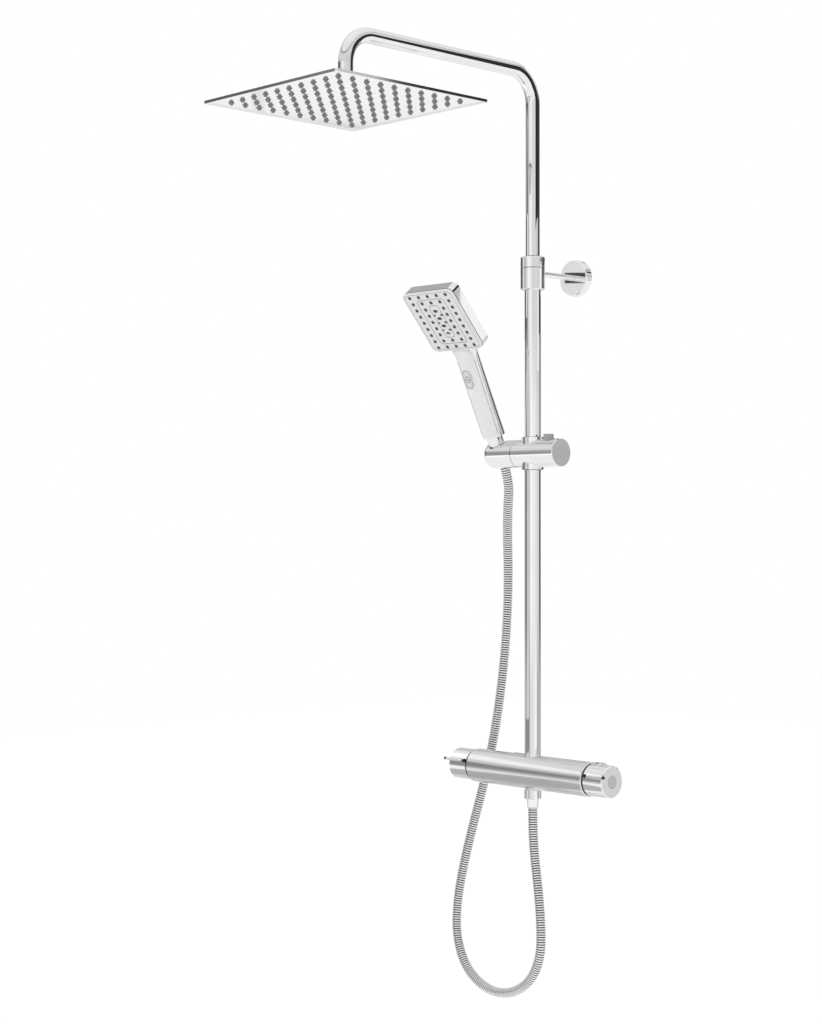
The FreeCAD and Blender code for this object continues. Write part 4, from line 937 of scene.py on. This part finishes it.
def build_world():
    """A white studio: soft even fill, and for reflections rings of panels, gaps and dark flags."""
    world = bpy.data.worlds.new("studio")
    world.use_nodes = True
    tree = world.node_tree
    tree.nodes.clear()
    coord = tree.nodes.new("ShaderNodeTexCoord")
    split = tree.nodes.new("ShaderNodeSeparateXYZ")
    tree.links.new(coord.outputs["Generated"], split.inputs[0])
    x, y, h = split.outputs
    turn = math_node(tree, "ARCTAN2", x, math_node(tree, "MULTIPLY", y, -1.0))
    around = math_node(tree, "ADD", math_node(tree, "DIVIDE", turn, 2 * math.pi), 0.5)
    rise = math_node(tree, "DIVIDE", math_node(tree, "ARCSINE", h), math.pi)
    height = math_node(tree, "ADD", rise, 0.5)

    def band(*stops):
        """Greys against the height above the horizon in degrees."""
        return grey_ramp(tree, height, [((up + 90.0) / 180.0, grey) for up, grey in stops])

    sky = band((-90, 0.93), (-20, 0.95), (-10, 1.02), (14, 0.62), (23, 0.76), (31, 0.7), (34, 0.2),
               (37, 0.78), (43, 0.85), (90, 0.95))
    ring = blend_greys(tree, band((-5, 0.0), (-3, 1.0)), around_ring(tree, around, RING_LOW),
                       around_ring(tree, around, RING_MID))
    ring = blend_greys(tree, band((3, 0.0), (6, 1.0)), ring, around_ring(tree, around, RING_HIGH))
    belt = band((-10.9, 0.0), (-10, 1.0), (13, 1.0), (17, 0.0))
    studio = tree.nodes.new("ShaderNodeBackground")
    tree.links.new(blend_greys(tree, belt, sky, ring), studio.inputs["Color"])
    seen = tree.nodes.new("ShaderNodeBackground")
    seen.inputs["Color"].default_value = (1, 1, 1, 1)
    fill = tree.nodes.new("ShaderNodeBackground")
    fill.inputs["Color"].default_value = (1, 1, 1, 1)
    fill.inputs["Strength"].default_value = 0.75
    path = tree.nodes.new("ShaderNodeLightPath")
    first = tree.nodes.new("ShaderNodeMixShader")
    tree.links.new(path.outputs["Is Glossy Ray"], first.inputs[0])
    tree.links.new(fill.outputs[0], first.inputs[1])
    tree.links.new(studio.outputs[0], first.inputs[2])
    last = tree.nodes.new("ShaderNodeMixShader")
    tree.links.new(path.outputs["Is Camera Ray"], last.inputs[0])
    tree.links.new(first.outputs[0], last.inputs[1])
    tree.links.new(seen.outputs[0], last.inputs[2])
    out = tree.nodes.new("ShaderNodeOutputWorld")
    tree.links.new(last.outputs[0], out.inputs["Surface"])
    bpy.context.scene.world = world


def build_card(name, start, way, far, wide, tall, grey, level=False):
    """A studio card that only polished surfaces see, square to a line of sight from `start`.

    A level card lies flat instead, so that upright tubes at its own height see only its edge.
    """
    way = Vector(way).normalized()
    centre = Vector(start) + way * far
    across = way.cross(Vector((0, 0, 1))).normalized()
    up = Vector((0, 0, 1)).cross(across) if level else across.cross(way)
    corners = []
    for a, b in ((-1, -1), (1, -1), (1, 1), (-1, 1)):
        corners.append(list(centre + across * (a * wide / 2) + up * (b * tall / 2)))
    card = add_mesh(name, corners, [(0, 1, 2, 3)], None)
    mat = bpy.data.materials.new(name)
    mat.use_nodes = True
    tree = mat.node_tree
    tree.nodes.clear()
    glow = tree.nodes.new("ShaderNodeEmission")
    glow.inputs["Color"].default_value = (grey, grey, grey, 1)
    out = tree.nodes.new("ShaderNodeOutputMaterial")
    tree.links.new(glow.outputs[0], out.inputs["Surface"])
    mat.cycles.emission_sampling = "NONE"
    card.data.materials.append(mat)
    card.visible_camera = False
    card.visible_diffuse = False
    card.visible_shadow = False
    card.visible_transmission = False
    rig.stage(card)


def build_floor():
    """A wide pale floor well below the hose; it reads as white to the eye, shadows apart."""
    side = 9.0
    steps = 9
    u = np.linspace(-side, side, steps)
    a, b = np.meshgrid(u, u, indexing="ij")
    verts = np.stack([a.ravel(), b.ravel(), np.full(a.size, -1.05)], -1)
    floor = add_mesh("floor", verts, grid_faces(steps, steps), None)
    mat = bpy.data.materials.new("pale_floor")
    mat.use_nodes = True
    tree = mat.node_tree
    shader = tree.nodes["Principled BSDF"]
    shader.inputs["Base Color"].default_value = (0.88, 0.88, 0.88, 1)
    shader.inputs["Roughness"].default_value = 0.8
    bright = tree.nodes.new("ShaderNodeEmission")
    bright.inputs["Color"].default_value = (1, 1, 1, 1)
    bright.inputs["Strength"].default_value = 1.05
    path = tree.nodes.new("ShaderNodeLightPath")
    mix = tree.nodes.new("ShaderNodeMixShader")
    tree.links.new(math_node(tree, "MULTIPLY", path.outputs["Is Camera Ray"], 0.9), mix.inputs[0])
    tree.links.new(shader.outputs[0], mix.inputs[1])
    tree.links.new(bright.outputs[0], mix.inputs[2])
    tree.links.new(mix.outputs[0], tree.nodes["Material Output"].inputs["Surface"])
    mat.cycles.emission_sampling = "NONE"
    floor.data.materials.append(mat)
    floor.visible_glossy = False
    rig.stage(floor)


def soft_lamp(name, spot, aim, size, power):
    data = bpy.data.lights.new(name, "AREA")
    data.shape = "SQUARE"
    data.size = size
    data.energy = power
    lamp = bpy.data.objects.new(name, data)
    lamp.location = spot
    way = Vector(aim) - Vector(spot)
    lamp.rotation_euler = way.to_track_quat("-Z", "Y").to_euler()
    lamp.visible_glossy = False
    bpy.context.scene.collection.objects.link(lamp)


build_world()
build_floor()
build_card("arm_flag", (0.0, -0.23, 0.95), (0.71, 0.68, 0.06), 0.5, 0.5, 0.34, 0.03)
build_card("rosette_card", (0.0, 0.027, 0.678), (-0.72, -0.68, 0.13), 0.45, 0.16, 0.16, 0.8)
build_card("rosette_flag", (0.004, 0.027, 0.678), (-0.661, -0.741, 0.121), 0.11, 0.03, 0.015, 0.05)
build_card("mixer_card", (0.0, -0.078, 0.0), (-0.68, -0.45, 0.57), 0.606, 0.5, 0.28, 1.15, level=True)
build_card("mixer_flag", (0.0, -0.078, 0.0), (-0.67, -0.73, 0.13), 0.2, 0.32, 0.05, 0.28)
build_card("mixer_low_card", (0.0, -0.078, 0.0), (-0.68, -0.35, -0.64), 0.4, 0.4, 0.27, 0.5)
build_card("mixer_under_card", (0.0, -0.07, -0.01), (-0.68, 0.33, -0.65), 0.4, 0.4, 0.25, 0.68)
build_card("handle_back_card", (-0.0435, -0.094, 0.514), (-0.56, 0.83, 0.08), 0.071, 0.09, 0.15, 0.6)
build_card("handle_side_card", (-0.0435, -0.094, 0.514), (0.66, 0.74, 0.09), 0.2, 0.07, 0.15, 0.62)
build_card("head_side_card", (-0.014, -0.158, 0.61), (0.66, 0.74, 0.09), 0.25, 0.06, 0.15, 1.0)
build_card("head_card", (-0.061, -0.21, 0.655), (-0.66, 0.19, 0.72), 0.3, 0.16, 0.2, 0.45)
soft_lamp("key", (1.6, -2.4, 2.2), (0, -0.2, 0.4), 1.6, 38)
soft_lamp("side", (-2.2, -1.6, 0.9), (0, -0.2, 0.4), 1.6, 14)

bpy.context.scene.view_settings.view_transform = "Standard"

save_size("after")
